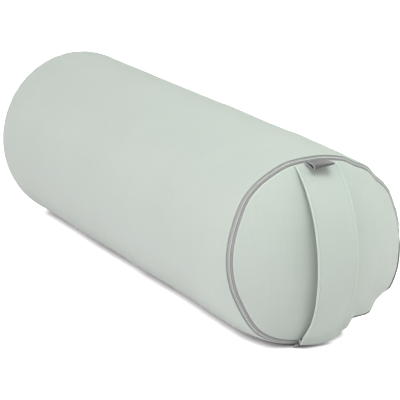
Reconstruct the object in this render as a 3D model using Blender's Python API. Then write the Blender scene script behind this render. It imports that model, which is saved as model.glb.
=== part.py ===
"""A round yoga bolster on the floor: a filled inner cushion in a zipped cotton cover with a carry strap.

The bolster lies along Y with its zipped end at -Y, and rests on Z = 0. Sizes are in metres. Run it with
blender --background --python part.py, or from Blender's text editor. The angle t runs round the bolster's
own axis, from +X towards +Z, so that 90 degrees is the top.
"""

import math

import bmesh
import bpy
import numpy as np
from mathutils import Matrix, Vector

# The seams that close the two ends, each a true circle standing just clear of the floor
SEAM_RADIUS = 0.0980
SEAM_FLOOR_GAP = 0.0035
SEAM_TO_SEAM = 0.640

# How far the tube's section halfway along, settled under its own weight, stands out past a seam, and the
# half width of its foot
SIDE_SWELL = 0.0120
TOP_SWELL = 0.0011
CONTACT_HALF_WIDTH = 0.041

# A flat rim crosses each seam at this angle to the axis, and beyond it the cushion swells
RIM_ANGLE = math.radians(40.0)
RIM_FLAT = 0.0040
RIM_SWELL = 0.0008
FRONT_SHOULDER = 0.049
REAR_SHOULDER = 0.025
FRONT_CROWN = 0.036
FRONT_DOME_POWER = 2.4
REAR_CROWN = 0.022
REAR_DOME_POWER = 3.4

# Cloth and clearances
COVER_CLOTH = 0.0010
LINER_CLOTH = 0.0006
GAP = 0.0003
SEAM_GAP = 0.0003
LINER_SLACK = 0.0005

# One size of coil zip closes both the cover and the liner
COIL_INNER = 0.00050
COIL_OUTER = 0.00265
COIL_HEIGHT = 0.0015
COIL_CORNER = 0.0006
TAPE_THICK = 0.0006
TAPE_WIDTH = 0.0120
SLIDER_LENGTH = 0.0084
SLIDER_HALF_WIDTH = 0.0035
SLIDER_PLATE = 0.0008
SLIDER_POST_WIDTH = 0.0005
SLIDER_POST_LENGTH = 0.0030
SLIDER_EDGE_GAP = 0.00035
SLIDER_FLANGE = 0.00055
FLANGE_DROP = 0.0014
PULL_PIN_RADIUS = 0.00045
PULL_THICK = 0.0010
PULL_LENGTH = 0.0140
PULL_HALF_WIDTH = 0.0024
PULL_WINDOW = 0.0039
PULL_ARM_THICK = 0.00072
PULL_HOLE_RADIUS = 0.0011
PULL_HOLE_INSET = 0.0026
BAIL_HALF_WIDTH = 0.0008
BAIL_HALF_LENGTH = 0.0031
BAIL_THICK = 0.0008

# Where the cover's zip begins and ends, round the front seam. The rest of the seam is sewn
ZIP_CLOSED_END = math.radians(268.5)
ZIP_OPEN_END = math.radians(6.0)
ZIP_MOUTH_TAPER = 0.0080

# How far the cover's pull hangs off the cloth, down to just above the floor
PULL_HANG = math.radians(7.5)

# Carry strap across the zipped end, of doubled cloth
STRAP_HALF_WIDTH = 0.0240
STRAP_THICK = 0.0020
STRAP_LIFT = 0.0110
STRAP_TURN = math.radians(2.2)
STRAP_TOP_POWER = 2.2
STRAP_FOOT_POWER = 2.0
STRAP_WAIST = 0.085
STRAP_WAIST_POWER = 3.0
STRAP_LEAN_POWER = 1.3
STRAP_FOOT_PLY = 0.0040
STRAP_FOOT_BEND = 0.0004
STRAP_FOOT_JOIN = -0.86
STRAP_FOOT_HANDLE = 0.38
STRAP_ROOT_GAP = 0.0007

# Folded ribbon label in the top of the seam. It hangs askew: its -X edge droops more by the twist than its
# middle and reaches less far by the skew, and the other edge the other way round
LABEL_WIDTH = 0.0210
LABEL_REACH = 0.0180
LABEL_PLY = 0.0005
LABEL_LOOP_GAP = 0.0024
LABEL_DROOP = math.radians(11.0)
LABEL_TWIST = math.radians(10.0)
LABEL_SKEW = 0.0025
LABEL_ANGLE = math.radians(91.9)

# The liner's own zip, on a flat stretch of its right side
LINER_ZIP_LENGTH = 0.220
LINER_ZIP_TAPE_WIDTH = 0.0080
LINER_FLAT_DEPTH = 0.0080
LINER_FLAT_RAMP = 0.030
LINER_FLAT_MARGIN = 0.015
END_STOP_LENGTH = 0.0030

# How finely the round shapes are divided
AROUND = 60
LINER_AROUND = 30
STRAP_COLUMNS = 7
STRAP_ROWS = 22
STRAP_BEND_ROWS = 4
STRAP_RISE_ROWS = 4
STRAP_SLOPE_STEP = 0.01
LABEL_COLUMNS = 6
LABEL_PLY_STEPS = 4
SHOULDER_SHARES = np.array([0.3, 0.58, 1.0])
REAR_FIRST_SHARE = 0.12
PANEL_SHARES = np.array([1.0, 0.93, 0.82, 0.66, 0.45, 0.2])

COVER_COLOUR = (0.66, 0.74, 0.67)
LINER_COLOUR = (0.86, 0.82, 0.72)
HUSK_COLOUR = (0.45, 0.33, 0.20)
TAPE_COLOUR = (0.42, 0.43, 0.42)
COIL_COLOUR = (0.50, 0.51, 0.50)
METAL_COLOUR = (0.55, 0.56, 0.57)
LABEL_COLOUR = (0.16, 0.16, 0.17)

# Heights above the cover's outer face, across the zip's flat
COIL_BASE = -COVER_CLOTH
COIL_TOP = COIL_BASE + COIL_HEIGHT
TAPE_TOP = COIL_BASE - GAP
TAPE_BASE = TAPE_TOP - TAPE_THICK
TOP_PLATE_BASE = COIL_TOP + GAP
TOP_PLATE_TOP = TOP_PLATE_BASE + SLIDER_PLATE
BOTTOM_PLATE_TOP = TAPE_BASE - GAP
BOTTOM_PLATE_BASE = BOTTOM_PLATE_TOP - SLIDER_PLATE
STOP_CORNERS = ((-1.0, COIL_BASE), (1.0, COIL_BASE), (1.0, COIL_TOP), (-1.0, COIL_TOP))
PIN_HEIGHT = TOP_PLATE_TOP + GAP + max(PULL_PIN_RADIUS, PULL_THICK / 2)
BAIL_BASE = PIN_HEIGHT + PULL_PIN_RADIUS + GAP
BAIL_TOP = BAIL_BASE + BAIL_THICK
CLOTH_EDGE = SLIDER_HALF_WIDTH + SLIDER_EDGE_GAP

# Depths of the inner layers below the cover's outer face
LINER_DEPTH = COVER_CLOTH + LINER_SLACK
LINER_RIM_DEPTH = LINER_SLACK - BOTTOM_PLATE_BASE
FILLING_STEP = LINER_CLOTH + LINER_SLACK

# Places that follow from the sizes
SEAM_CENTRE = SEAM_RADIUS + SEAM_FLOOR_GAP
STRAP_REACH = FRONT_CROWN + GAP + STRAP_LIFT + STRAP_THICK
FRONT_Y = (STRAP_REACH - SEAM_TO_SEAM - REAR_CROWN) / 2
REAR_Y = FRONT_Y + SEAM_TO_SEAM
MIDDLE = np.array([0.0, (FRONT_Y + REAR_Y) / 2, SEAM_CENTRE])
PANEL_EDGE_RADIUS = SEAM_RADIUS - RIM_FLAT * math.sin(RIM_ANGLE)

# The settled section is an oval whose foot is cut flat by the floor
HALF_WIDTH = SEAM_RADIUS + SIDE_SWELL
SETTLED_HEIGHT = SEAM_FLOOR_GAP + 2 * SEAM_RADIUS + TOP_SWELL
LEAN = math.sqrt(1 - (CONTACT_HALF_WIDTH / HALF_WIDTH) ** 2)
RISE = SETTLED_HEIGHT / (1 + LEAN)
WIDEST_HEIGHT = RISE * LEAN


def clear_scene():
    for old in list(bpy.data.objects):
        bpy.data.objects.remove(old, do_unlink=True)


def material(name, colour, roughness, metallic=0.0):
    made = bpy.data.materials.new(name)
    made.use_nodes = True
    shader = made.node_tree.nodes["Principled BSDF"]
    shader.inputs["Base Color"].default_value = (*colour, 1.0)
    shader.inputs["Roughness"].default_value = roughness
    shader.inputs["Metallic"].default_value = metallic
    return made


def add_object(name, mesh, finish):
    made = bpy.data.objects.new(name, mesh)
    bpy.context.scene.collection.objects.link(made)
    mesh.materials.append(finish)
    return made


def smooth_step(value):
    """0 below 0, 1 above 1, and an S curve between."""
    held = np.clip(value, 0.0, 1.0)
    return held * held * (3.0 - 2.0 * held)


def loft(name, rings, finish, wrap_rows=False, wrap_round=True, poles=(), thin_ends=False):
    """A closed solid from rows of points, rings[row, place round]. The rows wrap into a wall, or end in
    two poles or in flat caps. Rings that don't wrap round are closed by a cap at each side, or with thin_ends
    by a strip of squares from the wall's one face to its other. All squares are split along their shorter
    diagonal, so that layers that lie on one another bend alike."""
    rows, places = rings.shape[:2]
    shape = bmesh.new()
    grid = [[shape.verts.new(point) for point in row] for row in rings]
    row_pairs = [(row, (row + 1) % rows) for row in range(rows if wrap_rows else rows - 1)]
    steps = [(place, (place + 1) % places) for place in range(places if wrap_round else places - 1)]
    for low, high in row_pairs:
        for here, there in steps:
            shape.faces.new((grid[low][here], grid[low][there], grid[high][there], grid[high][here]))
    if not wrap_round and thin_ends:
        for here in range(rows // 2 - 1):
            for end in (0, -1):
                four = (grid[here], grid[here + 1], grid[rows - 2 - here], grid[rows - 1 - here])
                shape.faces.new([row[end] for row in four])
    elif not wrap_round:
        shape.faces.new([row[0] for row in grid])
        shape.faces.new([row[-1] for row in reversed(grid)])
    if poles:
        for pole, ring in zip(poles, (grid[0], grid[-1])):
            tip = shape.verts.new(pole)
            for here, there in steps:
                shape.faces.new((tip, ring[here], ring[there]))
    elif not wrap_rows:
        shape.faces.new(grid[0])
        shape.faces.new(list(reversed(grid[-1])))
    squares = [face for face in shape.faces if len(face.verts) == 4]
    bmesh.ops.triangulate(shape, faces=squares, quad_method="SHORT_EDGE")
    bmesh.ops.recalc_face_normals(shape, faces=shape.faces)
    mesh = bpy.data.meshes.new(name)
    shape.to_mesh(mesh)
    shape.free()
    mesh.shade_smooth()
    mesh.set_sharp_from_angle(angle=math.radians(40.0))
    return add_object(name, mesh, finish)


def tube_skin(t, along):
    """The cover's outer face on the tube. along runs from the front seam's middle, 0, to the rear one's. At a
    seam the section is the seam's circle on a flat rim, and over the shoulder it becomes the settled one."""
    length = tube_length()
    near_front = along * 2 < length
    end = np.minimum(along, length - along)
    flat = np.minimum(end, RIM_FLAT)
    run = np.maximum(end - RIM_FLAT, 0.0)
    swell = RIM_SWELL * (1 - np.exp(-run * math.tan(RIM_ANGLE) / RIM_SWELL))
    radius = SEAM_RADIUS + flat * math.sin(RIM_ANGLE) + swell
    behind = flat * math.cos(RIM_ANGLE) + run
    shoulder = np.where(near_front, FRONT_SHOULDER, REAR_SHOULDER)
    settled = 1 - (1 - np.minimum(run / shoulder, 1.0)) ** 2
    x = (1 - settled) * radius * np.cos(t) + settled * HALF_WIDTH * np.cos(t)
    z = (1 - settled) * (SEAM_CENTRE + radius * np.sin(t)) + settled * RISE * (LEAN + np.sin(t))
    y = np.where(near_front, FRONT_Y + behind, REAR_Y - behind) + 0.0 * t
    return np.stack([x, y, z], axis=-1)


def tube_length():
    """The tube's length from seam to seam, measured along its rims' slopes."""
    return SEAM_TO_SEAM + 2 * RIM_FLAT * (1 - math.cos(RIM_ANGLE))


def panel_skin(t, radius, crown, power, seam_y, outward):
    """The outer face of a round end panel: the flat rim, then a dome that stands crown past the seam."""
    rim = np.maximum(radius - PANEL_EDGE_RADIUS, 0.0) / math.tan(RIM_ANGLE)
    rise = crown - RIM_FLAT * math.cos(RIM_ANGLE)
    dome = rise * (1 - (np.minimum(np.abs(radius), PANEL_EDGE_RADIUS) / PANEL_EDGE_RADIUS) ** power)
    reach = RIM_FLAT * math.cos(RIM_ANGLE) - rim + dome
    return np.stack([radius * np.cos(t), seam_y + outward * reach, SEAM_CENTRE + radius * np.sin(t)], axis=-1)


def front_skin(t, radius):
    return panel_skin(t, radius, FRONT_CROWN, FRONT_DOME_POWER, FRONT_Y, -1.0)


def rear_skin(t, radius):
    return panel_skin(t, radius, REAR_CROWN, REAR_DOME_POWER, REAR_Y, 1.0)


def front_face(x, up):
    """The front panel's outer face by x, and by height above the middle of its seam."""
    return front_skin(np.arctan2(up, x), np.hypot(x, up))


def layer(skin, t, across, depth):
    """Points that lie depth under a skin, measured square to it, and never nearer the floor than depth."""
    t, across, depth = np.broadcast_arrays(t, across, depth)
    step = 1e-5
    here = skin(t, across)
    round_slope = skin(t + step, across) - skin(t - step, across)
    across_slope = skin(t, across + step) - skin(t, across - step)
    normal = np.cross(round_slope, across_slope)
    normal /= np.linalg.norm(normal, axis=-1, keepdims=True)
    normal *= np.sign(np.sum(normal * (here - MIDDLE), axis=-1, keepdims=True))
    made = here - depth[..., None] * normal
    made[..., 2] = np.maximum(made[..., 2], np.maximum(depth, 0.0))
    return made


def rounds(count):
    return np.radians(np.arange(count) * 360.0 / count)


def arc_angles(start, end):
    """The angles from start to end, on the same divisions as the full rings."""
    step = 2 * math.pi / AROUND
    inside = np.arange(math.ceil(start / step), math.floor(end / step) + 1) * step
    return np.unique(np.round(np.concatenate([[start], inside, [end]]), 9))


def cover_angles():
    """The full ring's divisions, with places where the zip's mouth ends and where it has closed up."""
    taper = ZIP_MOUTH_TAPER / SEAM_RADIUS
    mouth = np.array([ZIP_OPEN_END - taper, ZIP_OPEN_END, ZIP_CLOSED_END, ZIP_CLOSED_END + taper])
    ring = rounds(AROUND)
    away = np.abs(np.sin((ring[:, None] - mouth) / 2)).min(axis=1)
    kept = ring[away > 0.2 * math.pi / AROUND]
    return np.sort(np.concatenate([kept, mouth % (2 * math.pi)]))


def cloth_edge(t):
    """How far the cover's edges lie from the front seam's middle: clear of the slider along the zip, and
    together where the seam is sewn."""
    half_sewn = math.pi - (ZIP_CLOSED_END - ZIP_OPEN_END) / 2
    middle = ZIP_OPEN_END - half_sewn
    from_middle = np.abs((t - middle + math.pi) % (2 * math.pi) - math.pi)
    closing = np.clip((half_sewn - from_middle) * SEAM_RADIUS / ZIP_MOUTH_TAPER, 0.0, 1.0)
    return CLOTH_EDGE + closing * (SEAM_GAP / 2 - CLOTH_EDGE)


def tube_wall(name, t, along, depth, thick, finish, wrap_round=True):
    """A sheet on the tube, thick deep, whose outer face lies depth under the skin."""
    outer = layer(tube_skin, t, along, depth)
    inner = layer(tube_skin, t, along, depth + thick)
    return loft(name, np.concatenate([outer, inner[::-1]]), finish, wrap_rows=True, wrap_round=wrap_round)


def panel_wall(name, skin, t, radii, depth, thick, finish):
    """A domed sheet over one end of the bolster."""
    depth = np.broadcast_to(depth, radii.shape)
    outer = layer(skin, t, radii, depth)
    inner = layer(skin, t, radii, depth + thick)
    poles = [pole_of(skin, depth[-1, 0]), pole_of(skin, depth[-1, 0] + thick)]
    return loft(name, np.concatenate([outer[::-1], inner]), finish, poles=poles)


def pole_of(skin, depth):
    """The middle of a dome, depth under its skin."""
    top = skin(np.array(0.0), np.array(0.0))
    inwards = np.sign(MIDDLE[1] - top[1])
    return top + np.array([0.0, inwards * depth, 0.0])


def shoulder_stations(shoulder, first, curve):
    """Distances from a seam over its shoulder, close together where the rim curves."""
    return np.sort([RIM_FLAT, RIM_FLAT + curve, first, *(RIM_FLAT + shoulder * SHOULDER_SHARES)])


def tube_stations(front_edge, rear_edge, curve=2 * RIM_SWELL):
    """Distances along the tube, as rows over the places round it where the two edges are given."""
    front = shoulder_stations(FRONT_SHOULDER, TAPE_WIDTH, curve)
    rear = shoulder_stations(REAR_SHOULDER, RIM_FLAT + REAR_FIRST_SHARE * REAR_SHOULDER, curve)
    inner = np.concatenate([front, [tube_length() / 2], tube_length() - rear[::-1]])
    inner = inner[:, None] + 0.0 * front_edge
    return np.concatenate([front_edge[None], inner, tube_length() - rear_edge[None]])


def panel_radii(edge):
    """Radii of a panel's rings, as rows from its edge, given at places round it, to near its middle."""
    inner = PANEL_EDGE_RADIUS * PANEL_SHARES[:, None] + 0.0 * edge
    return np.concatenate([SEAM_RADIUS - edge[None] * math.sin(RIM_ANGLE), inner])


def make_cover(cloth):
    t = cover_angles()
    edge = cloth_edge(t)
    sewn = np.full_like(t, SEAM_GAP / 2)
    tube_wall("cover_tube", t, tube_stations(edge, sewn), 0.0, COVER_CLOTH, cloth)
    panel_wall("cover_front_panel", front_skin, t, panel_radii(edge), 0.0, COVER_CLOTH, cloth)
    panel_wall("cover_rear_panel", rear_skin, t, panel_radii(sewn), 0.0, COVER_CLOTH, cloth)


def rim_points(t, across, height):
    """Points on the flat of the front rim: across runs from the chain's middle towards the panel, and height
    stands off the cover's outer face."""
    radius = SEAM_RADIUS - across * math.sin(RIM_ANGLE) + height * math.cos(RIM_ANGLE)
    y = FRONT_Y - across * math.cos(RIM_ANGLE) - height * math.sin(RIM_ANGLE) + 0.0 * t
    return np.stack([radius * np.cos(t), y, SEAM_CENTRE + radius * np.sin(t)], axis=-1)


def coil_outline():
    """One side of the zip's chain, as the outline of its coil: (across, height) pairs."""
    return [
        (COIL_INNER, COIL_BASE),
        (COIL_OUTER, COIL_BASE),
        (COIL_OUTER, COIL_TOP - COIL_CORNER),
        (COIL_OUTER - COIL_CORNER, COIL_TOP),
        (COIL_INNER + COIL_CORNER, COIL_TOP),
        (COIL_INNER, COIL_TOP - COIL_CORNER),
    ]


def make_cover_zip(tape, coil):
    t = arc_angles(ZIP_OPEN_END, ZIP_CLOSED_END)
    tape_along = np.array([COIL_INNER, RIM_FLAT, RIM_FLAT + 2 * RIM_SWELL, TAPE_WIDTH])
    tube_wall("zip_tape_tube_side", t, tape_along[:, None], -TAPE_TOP, TAPE_THICK, tape, wrap_round=False)
    edge = SEAM_RADIUS - COIL_INNER * math.sin(RIM_ANGLE)
    last = SEAM_RADIUS - TAPE_WIDTH * math.sin(RIM_ANGLE)
    radii = np.array([edge, PANEL_EDGE_RADIUS, last])[:, None]
    outer = layer(front_skin, t, radii, -TAPE_TOP)
    inner = layer(front_skin, t, radii, -TAPE_BASE)
    rings = np.concatenate([outer, inner[::-1]])
    loft("zip_tape_panel_side", rings, tape, wrap_rows=True, wrap_round=False)
    stop = END_STOP_LENGTH / SEAM_RADIUS
    margin = GAP / SEAM_RADIUS
    chain = arc_angles(ZIP_OPEN_END + stop + margin, ZIP_CLOSED_END - stop - margin)
    closed_stop = np.linspace(ZIP_CLOSED_END - stop, ZIP_CLOSED_END, 3)
    open_stop = np.linspace(ZIP_OPEN_END, ZIP_OPEN_END + stop, 3)
    for word, side in (("tube", -1.0), ("panel", 1.0)):
        for name, t in ((f"zip_coil_{word}_side", chain), (f"zip_top_stop_{word}_side", closed_stop)):
            rings = np.stack([rim_points(t, side * across, height) for across, height in coil_outline()])
            loft(name, rings, coil, wrap_rows=True, wrap_round=False)
    corners = [(side * COIL_OUTER, height) for side, height in STOP_CORNERS]
    rings = np.stack([rim_points(open_stop, across, height) for across, height in corners])
    loft("zip_bottom_stop", rings, coil, wrap_rows=True, wrap_round=False)


def strap_points(across, share, height):
    """The strap's face, height above its inner face. share runs from -1 at its foot to 1 at its top, and
    across from one edge to the other. Between its sewn ends the strap leaves the panel's skin and narrows,
    and low down it leans: its -X edge stands further off and the other one nearer."""
    root = SEAM_RADIUS - (CLOTH_EDGE + STRAP_ROOT_GAP) * math.sin(RIM_ANGLE)
    up = share * np.sqrt(root**2 - across**2)
    power = np.where(share > 0, STRAP_TOP_POWER, STRAP_FOOT_POWER)
    lean = 1 - across / STRAP_HALF_WIDTH * np.maximum(-share, 0.0) ** STRAP_LEAN_POWER
    lift = STRAP_LIFT * (1 - np.abs(share) ** power) * lean
    beside = across * (1 - STRAP_WAIST * (1 - np.abs(share) ** STRAP_WAIST_POWER))
    x = beside * math.cos(STRAP_TURN) - up * math.sin(STRAP_TURN)
    z = beside * math.sin(STRAP_TURN) + up * math.cos(STRAP_TURN)
    return layer(front_face, x, z, -(GAP + lift + height))


def strap_foot(across, height, bend_steps, rise_steps):
    """The strap's face at its foot, from its root up to where strap_points takes over: a short ply stands
    square off the rim, turns round a bend and joins the strap's front along a cubic curve. Rows run up."""
    root_across = CLOTH_EDGE + STRAP_ROOT_GAP + STRAP_THICK - np.array([0.0, height])
    root_radius = SEAM_RADIUS - root_across * math.sin(RIM_ANGLE) + GAP * math.cos(RIM_ANGLE)
    low = strap_points(across, STRAP_FOOT_JOIN, height)
    lower = strap_points(across, STRAP_FOOT_JOIN - STRAP_SLOPE_STEP, height)
    forward = root_across * math.cos(RIM_ANGLE) + GAP * math.sin(RIM_ANGLE)
    middle_x = across * math.cos(STRAP_TURN) + root_radius[0] * math.sin(STRAP_TURN)
    ply = np.array([-math.sin(RIM_ANGLE), -math.cos(RIM_ANGLE)])
    inwards = np.array([-math.cos(RIM_ANGLE), math.sin(RIM_ANGLE)])
    roots = [
        np.stack([FRONT_Y - ahead + 0.0 * across, SEAM_CENTRE - np.sqrt(radius**2 - middle_x**2)], axis=-1)
        for ahead, radius in zip(forward, root_radius)
    ]
    pivot = roots[0] + ply * STRAP_FOOT_PLY + inwards * STRAP_FOOT_BEND
    rise = low[:, 1:] - pivot
    turn = np.arctan2(rise[:, 1], -rise[:, 0]) + math.pi / 2 - RIM_ANGLE
    reach = STRAP_FOOT_BEND + height
    rows = [roots[1]]
    for step in range(bend_steps + 1):
        angle = turn * step / bend_steps
        out = -inwards * np.cos(angle)[:, None] + ply * np.sin(angle)[:, None]
        rows.append(pivot + out * reach)
    heading = inwards * np.sin(turn)[:, None] + ply * np.cos(turn)[:, None]
    arriving = low[:, 1:] - lower[:, 1:]
    arriving /= np.linalg.norm(arriving, axis=-1, keepdims=True)
    bend_end = rows[-1]
    handle = STRAP_FOOT_HANDLE * np.linalg.norm(low[:, 1:] - bend_end, axis=-1, keepdims=True)
    for step in range(1, rise_steps):
        share = step / rise_steps
        rows.append(
            (1 - share) ** 3 * bend_end
            + 3 * (1 - share) ** 2 * share * (bend_end + handle * heading)
            + 3 * (1 - share) * share**2 * (low[:, 1:] - handle * arriving)
            + share**3 * low[:, 1:]
        )
    made = np.stack(rows, axis=1)
    drift = np.linspace(0.0, 1.0, len(rows) + 1)[:-1]
    x = middle_x[:, None] + drift * (low[:, 0] - middle_x)[:, None]
    return np.concatenate([x[..., None], made], axis=-1)


def make_strap(cloth):
    across = np.linspace(-STRAP_HALF_WIDTH, STRAP_HALF_WIDTH, STRAP_COLUMNS)
    share = np.sin(np.linspace(math.asin(STRAP_FOOT_JOIN), math.pi / 2, STRAP_ROWS))
    faces = []
    for height in (0.0, STRAP_THICK):
        foot = strap_foot(across, height, STRAP_BEND_ROWS, STRAP_RISE_ROWS)
        faces.append(np.concatenate([foot, strap_points(across[:, None], share, height)], axis=1))
    inner, outer = faces
    rows = np.concatenate([outer, inner[::-1]])
    loft("carry_strap", rows, cloth, wrap_rows=True, wrap_round=False, thin_ends=True)


def label_outline(reach):
    """The folded ribbon's outline in its own plane: how far it reaches forward, and how far it stands off its
    root. It runs out along the lower ply, round the fold and back along the upper one, whose ends meet."""
    centre = LABEL_PLY + LABEL_LOOP_GAP / 2
    turns = np.radians(np.linspace(-90.0, 90.0, 7))
    tip = reach - centre
    along = np.linspace(0.0, 1.0, LABEL_PLY_STEPS + 1)[:-1]
    sides = []
    for radius, root_half in ((centre, LABEL_PLY + GAP / 2), (centre - LABEL_PLY, GAP / 2)):
        root = LABEL_PLY + GAP / 2
        lower = [(tip * share, (1 - share) * (root - root_half) + share * (centre - radius)) for share in along]
        upper = [(tip * share, (1 - share) * (root + root_half) + share * (centre + radius)) for share in along]
        fold = [(tip + radius * math.cos(a), centre + radius * math.sin(a)) for a in turns]
        sides.append([*lower, *fold, *reversed(upper)])
    outer, inner = sides
    return np.array([*outer, *reversed(inner)])


def label_root():
    """Where the label leaves the seam, over the strap's end: (radius, y)."""
    across = CLOTH_EDGE + STRAP_ROOT_GAP
    height = STRAP_THICK + 2 * GAP
    radius = SEAM_RADIUS - across * math.sin(RIM_ANGLE) + height * math.cos(RIM_ANGLE)
    return radius, FRONT_Y - across * math.cos(RIM_ANGLE) - height * math.sin(RIM_ANGLE)


def make_label(ribbon):
    """The label bends with the seam it is sewn into. Its origin is on the line that it flaps about."""
    root_radius, root_y = label_root()
    half_angle = LABEL_WIDTH / 2 / root_radius
    columns = []
    for side in np.linspace(-1.0, 1.0, LABEL_COLUMNS + 1):
        t = LABEL_ANGLE + side * half_angle
        droop = LABEL_DROOP + side * LABEL_TWIST
        reach, stand = label_outline(LABEL_REACH - side * LABEL_SKEW).T
        forward = reach * math.cos(droop) + stand * math.sin(droop)
        radius = root_radius + stand * math.cos(droop) - reach * math.sin(droop)
        points = [radius * math.cos(t), root_y - forward, SEAM_CENTRE + radius * math.sin(t)]
        columns.append(np.stack(points, axis=-1))
    origin = Vector((
        root_radius * math.cos(LABEL_ANGLE),
        root_y,
        SEAM_CENTRE + root_radius * math.sin(LABEL_ANGLE),
    ))
    rings = np.stack(columns, axis=1)
    made = loft("seam_label", rings, ribbon, wrap_rows=True, wrap_round=False, thin_ends=True)
    made.data.transform(Matrix.Translation(-origin))
    made.location = origin


def box_mesh(name, low, high):
    shape = bmesh.new()
    bmesh.ops.create_cube(shape, size=1.0)
    size = [b - a for a, b in zip(low, high)]
    middle = [(a + b) / 2 for a, b in zip(low, high)]
    bmesh.ops.scale(shape, vec=size, verts=shape.verts)
    bmesh.ops.translate(shape, vec=middle, verts=shape.verts)
    mesh = bpy.data.meshes.new(name)
    shape.to_mesh(mesh)
    shape.free()
    return mesh


def rod_mesh(name, radius, half_length, sides, axis):
    """A rod through the origin, along Y or Z."""
    shape = bmesh.new()
    bmesh.ops.create_cone(
        shape, cap_ends=True, segments=sides, radius1=radius, radius2=radius, depth=2 * half_length
    )
    if axis == "Y":
        bmesh.ops.rotate(shape, matrix=Matrix.Rotation(math.pi / 2, 3, "X"), verts=shape.verts)
    mesh = bpy.data.meshes.new(name)
    shape.to_mesh(mesh)
    shape.free()
    return mesh


def combine(made, others, operation):
    """Joins helper meshes to an object, or cuts them from it, with Boolean modifiers."""
    for number, mesh in enumerate(others):
        helper = bpy.data.objects.new(f"{made.name}_{operation.lower()}_{number}", mesh)
        bpy.context.scene.collection.objects.link(helper)
        helper.parent = made
        helper.hide_render = True
        helper.display_type = "WIRE"
        step = made.modifiers.new(f"{operation.lower()} {number}", "BOOLEAN")
        step.operation = operation
        step.solver = "EXACT"
        step.object = helper


def make_slider(name, metal, frame):
    """A coil zip's slider. Its own X runs along the chain, Y across it and Z off the cloth."""
    half = SLIDER_LENGTH / 2
    wide = SLIDER_HALF_WIDTH
    bite = SLIDER_PLATE / 2
    flange = wide - SLIDER_FLANGE
    made = add_object(
        name, box_mesh(name, (-half, -wide, TOP_PLATE_BASE), (half, wide, TOP_PLATE_TOP)), metal
    )
    nose = half - SLIDER_POST_LENGTH
    post = SLIDER_POST_WIDTH / 2
    lip = TOP_PLATE_BASE - FLANGE_DROP
    bail = BAIL_HALF_WIDTH
    far = BAIL_HALF_LENGTH
    near = BAIL_HALF_LENGTH - BAIL_THICK
    blocks = {
        "bottom plate": ((-half, -flange, BOTTOM_PLATE_BASE), (half, flange, BOTTOM_PLATE_TOP)),
        "post": ((nose, -post, BOTTOM_PLATE_TOP - bite), (half - bite, post, TOP_PLATE_BASE + bite)),
        "panel side flange": ((-half, flange, lip), (half, wide, TOP_PLATE_BASE + bite)),
        "tube side flange": ((-half, -wide, lip), (half, -flange, TOP_PLATE_BASE + bite)),
        "back bail leg": ((-far, -bail, TOP_PLATE_TOP - bite), (-near, bail, BAIL_BASE + bite)),
        "front bail leg": ((near, -bail, TOP_PLATE_TOP - bite), (far, bail, BAIL_BASE + bite)),
        "bail bar": ((-far, -bail, BAIL_BASE), (far, bail, BAIL_TOP)),
    }
    combine(made, [box_mesh(word, low, high) for word, (low, high) in blocks.items()], "UNION")
    made.matrix_world = frame
    return made


def make_pull(name, metal, frame):
    """The slider's pull: a plate on two arms, whose cross pin lies under the bail. Its origin is on the pin,
    and it lies back along its own -X."""
    arm_inside = BAIL_HALF_WIDTH + GAP
    half = PULL_THICK / 2
    overlap = half / 2
    arm_half = PULL_ARM_THICK / 2
    plate = box_mesh(name, (-PULL_LENGTH, -PULL_HALF_WIDTH, -half), (-PULL_WINDOW, PULL_HALF_WIDTH, half))
    made = add_object(name, plate, metal)
    pin = rod_mesh("pin", PULL_PIN_RADIUS, PULL_HALF_WIDTH - overlap, 12, "Y")
    arms = [
        box_mesh(
            "arm",
            (-PULL_WINDOW - overlap, min(side * arm_inside, side * PULL_HALF_WIDTH), -arm_half),
            (PULL_PIN_RADIUS, max(side * arm_inside, side * PULL_HALF_WIDTH), arm_half),
        )
        for side in (-1.0, 1.0)
    ]
    combine(made, [*arms, pin], "UNION")
    hole = rod_mesh("hole", PULL_HOLE_RADIUS, PULL_THICK, 12, "Z")
    hole.transform(Matrix.Translation((PULL_HOLE_INSET - PULL_LENGTH, 0.0, 0.0)))
    combine(made, [hole], "DIFFERENCE")
    made.matrix_world = frame
    return made


def rim_frame(t, height):
    """A frame on the front rim: X along the chain, Y across it towards the panel, Z off the cloth."""
    along = Vector((-math.sin(t), 0.0, math.cos(t)))
    radial = Vector((math.cos(t), 0.0, math.sin(t)))
    forward = Vector((0.0, -1.0, 0.0))
    across = forward * math.cos(RIM_ANGLE) - radial * math.sin(RIM_ANGLE)
    off = radial * math.cos(RIM_ANGLE) + forward * math.sin(RIM_ANGLE)
    place = Vector((0.0, FRONT_Y, SEAM_CENTRE)) + radial * SEAM_RADIUS + off * height
    return Matrix.Translation(place) @ Matrix((along, across, off)).transposed().to_4x4()


def slider_angle():
    """The closed slider's place round the seam: up against the stops at the zip's closed end."""
    return ZIP_CLOSED_END - (END_STOP_LENGTH + GAP + SLIDER_LENGTH / 2) / SEAM_RADIUS


def make_cover_slider(metal):
    """The slider hangs on an empty at the middle of the seam's circle, because it travels round that axis."""
    axis = bpy.data.objects.new("zip_track_axis", None)
    axis.location = (0.0, FRONT_Y, SEAM_CENTRE)
    bpy.context.scene.collection.objects.link(axis)
    bpy.context.view_layer.update()
    closed = slider_angle()
    slider = make_slider("zip_slider", metal, rim_frame(closed, 0.0))
    hang = Matrix.Rotation(PULL_HANG, 4, "Y")
    pull = make_pull("zip_pull", metal, rim_frame(closed, PIN_HEIGHT) @ hang)
    for piece in (slider, pull):
        world = piece.matrix_world.copy()
        piece.parent = axis
        piece.matrix_parent_inverse = axis.matrix_world.inverted()
        piece.matrix_world = world


def rim_bump(along):
    """1 under the zip's slider, and 0 past the end of its tape."""
    return smooth_step(2.0 - along / TAPE_WIDTH)


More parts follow.
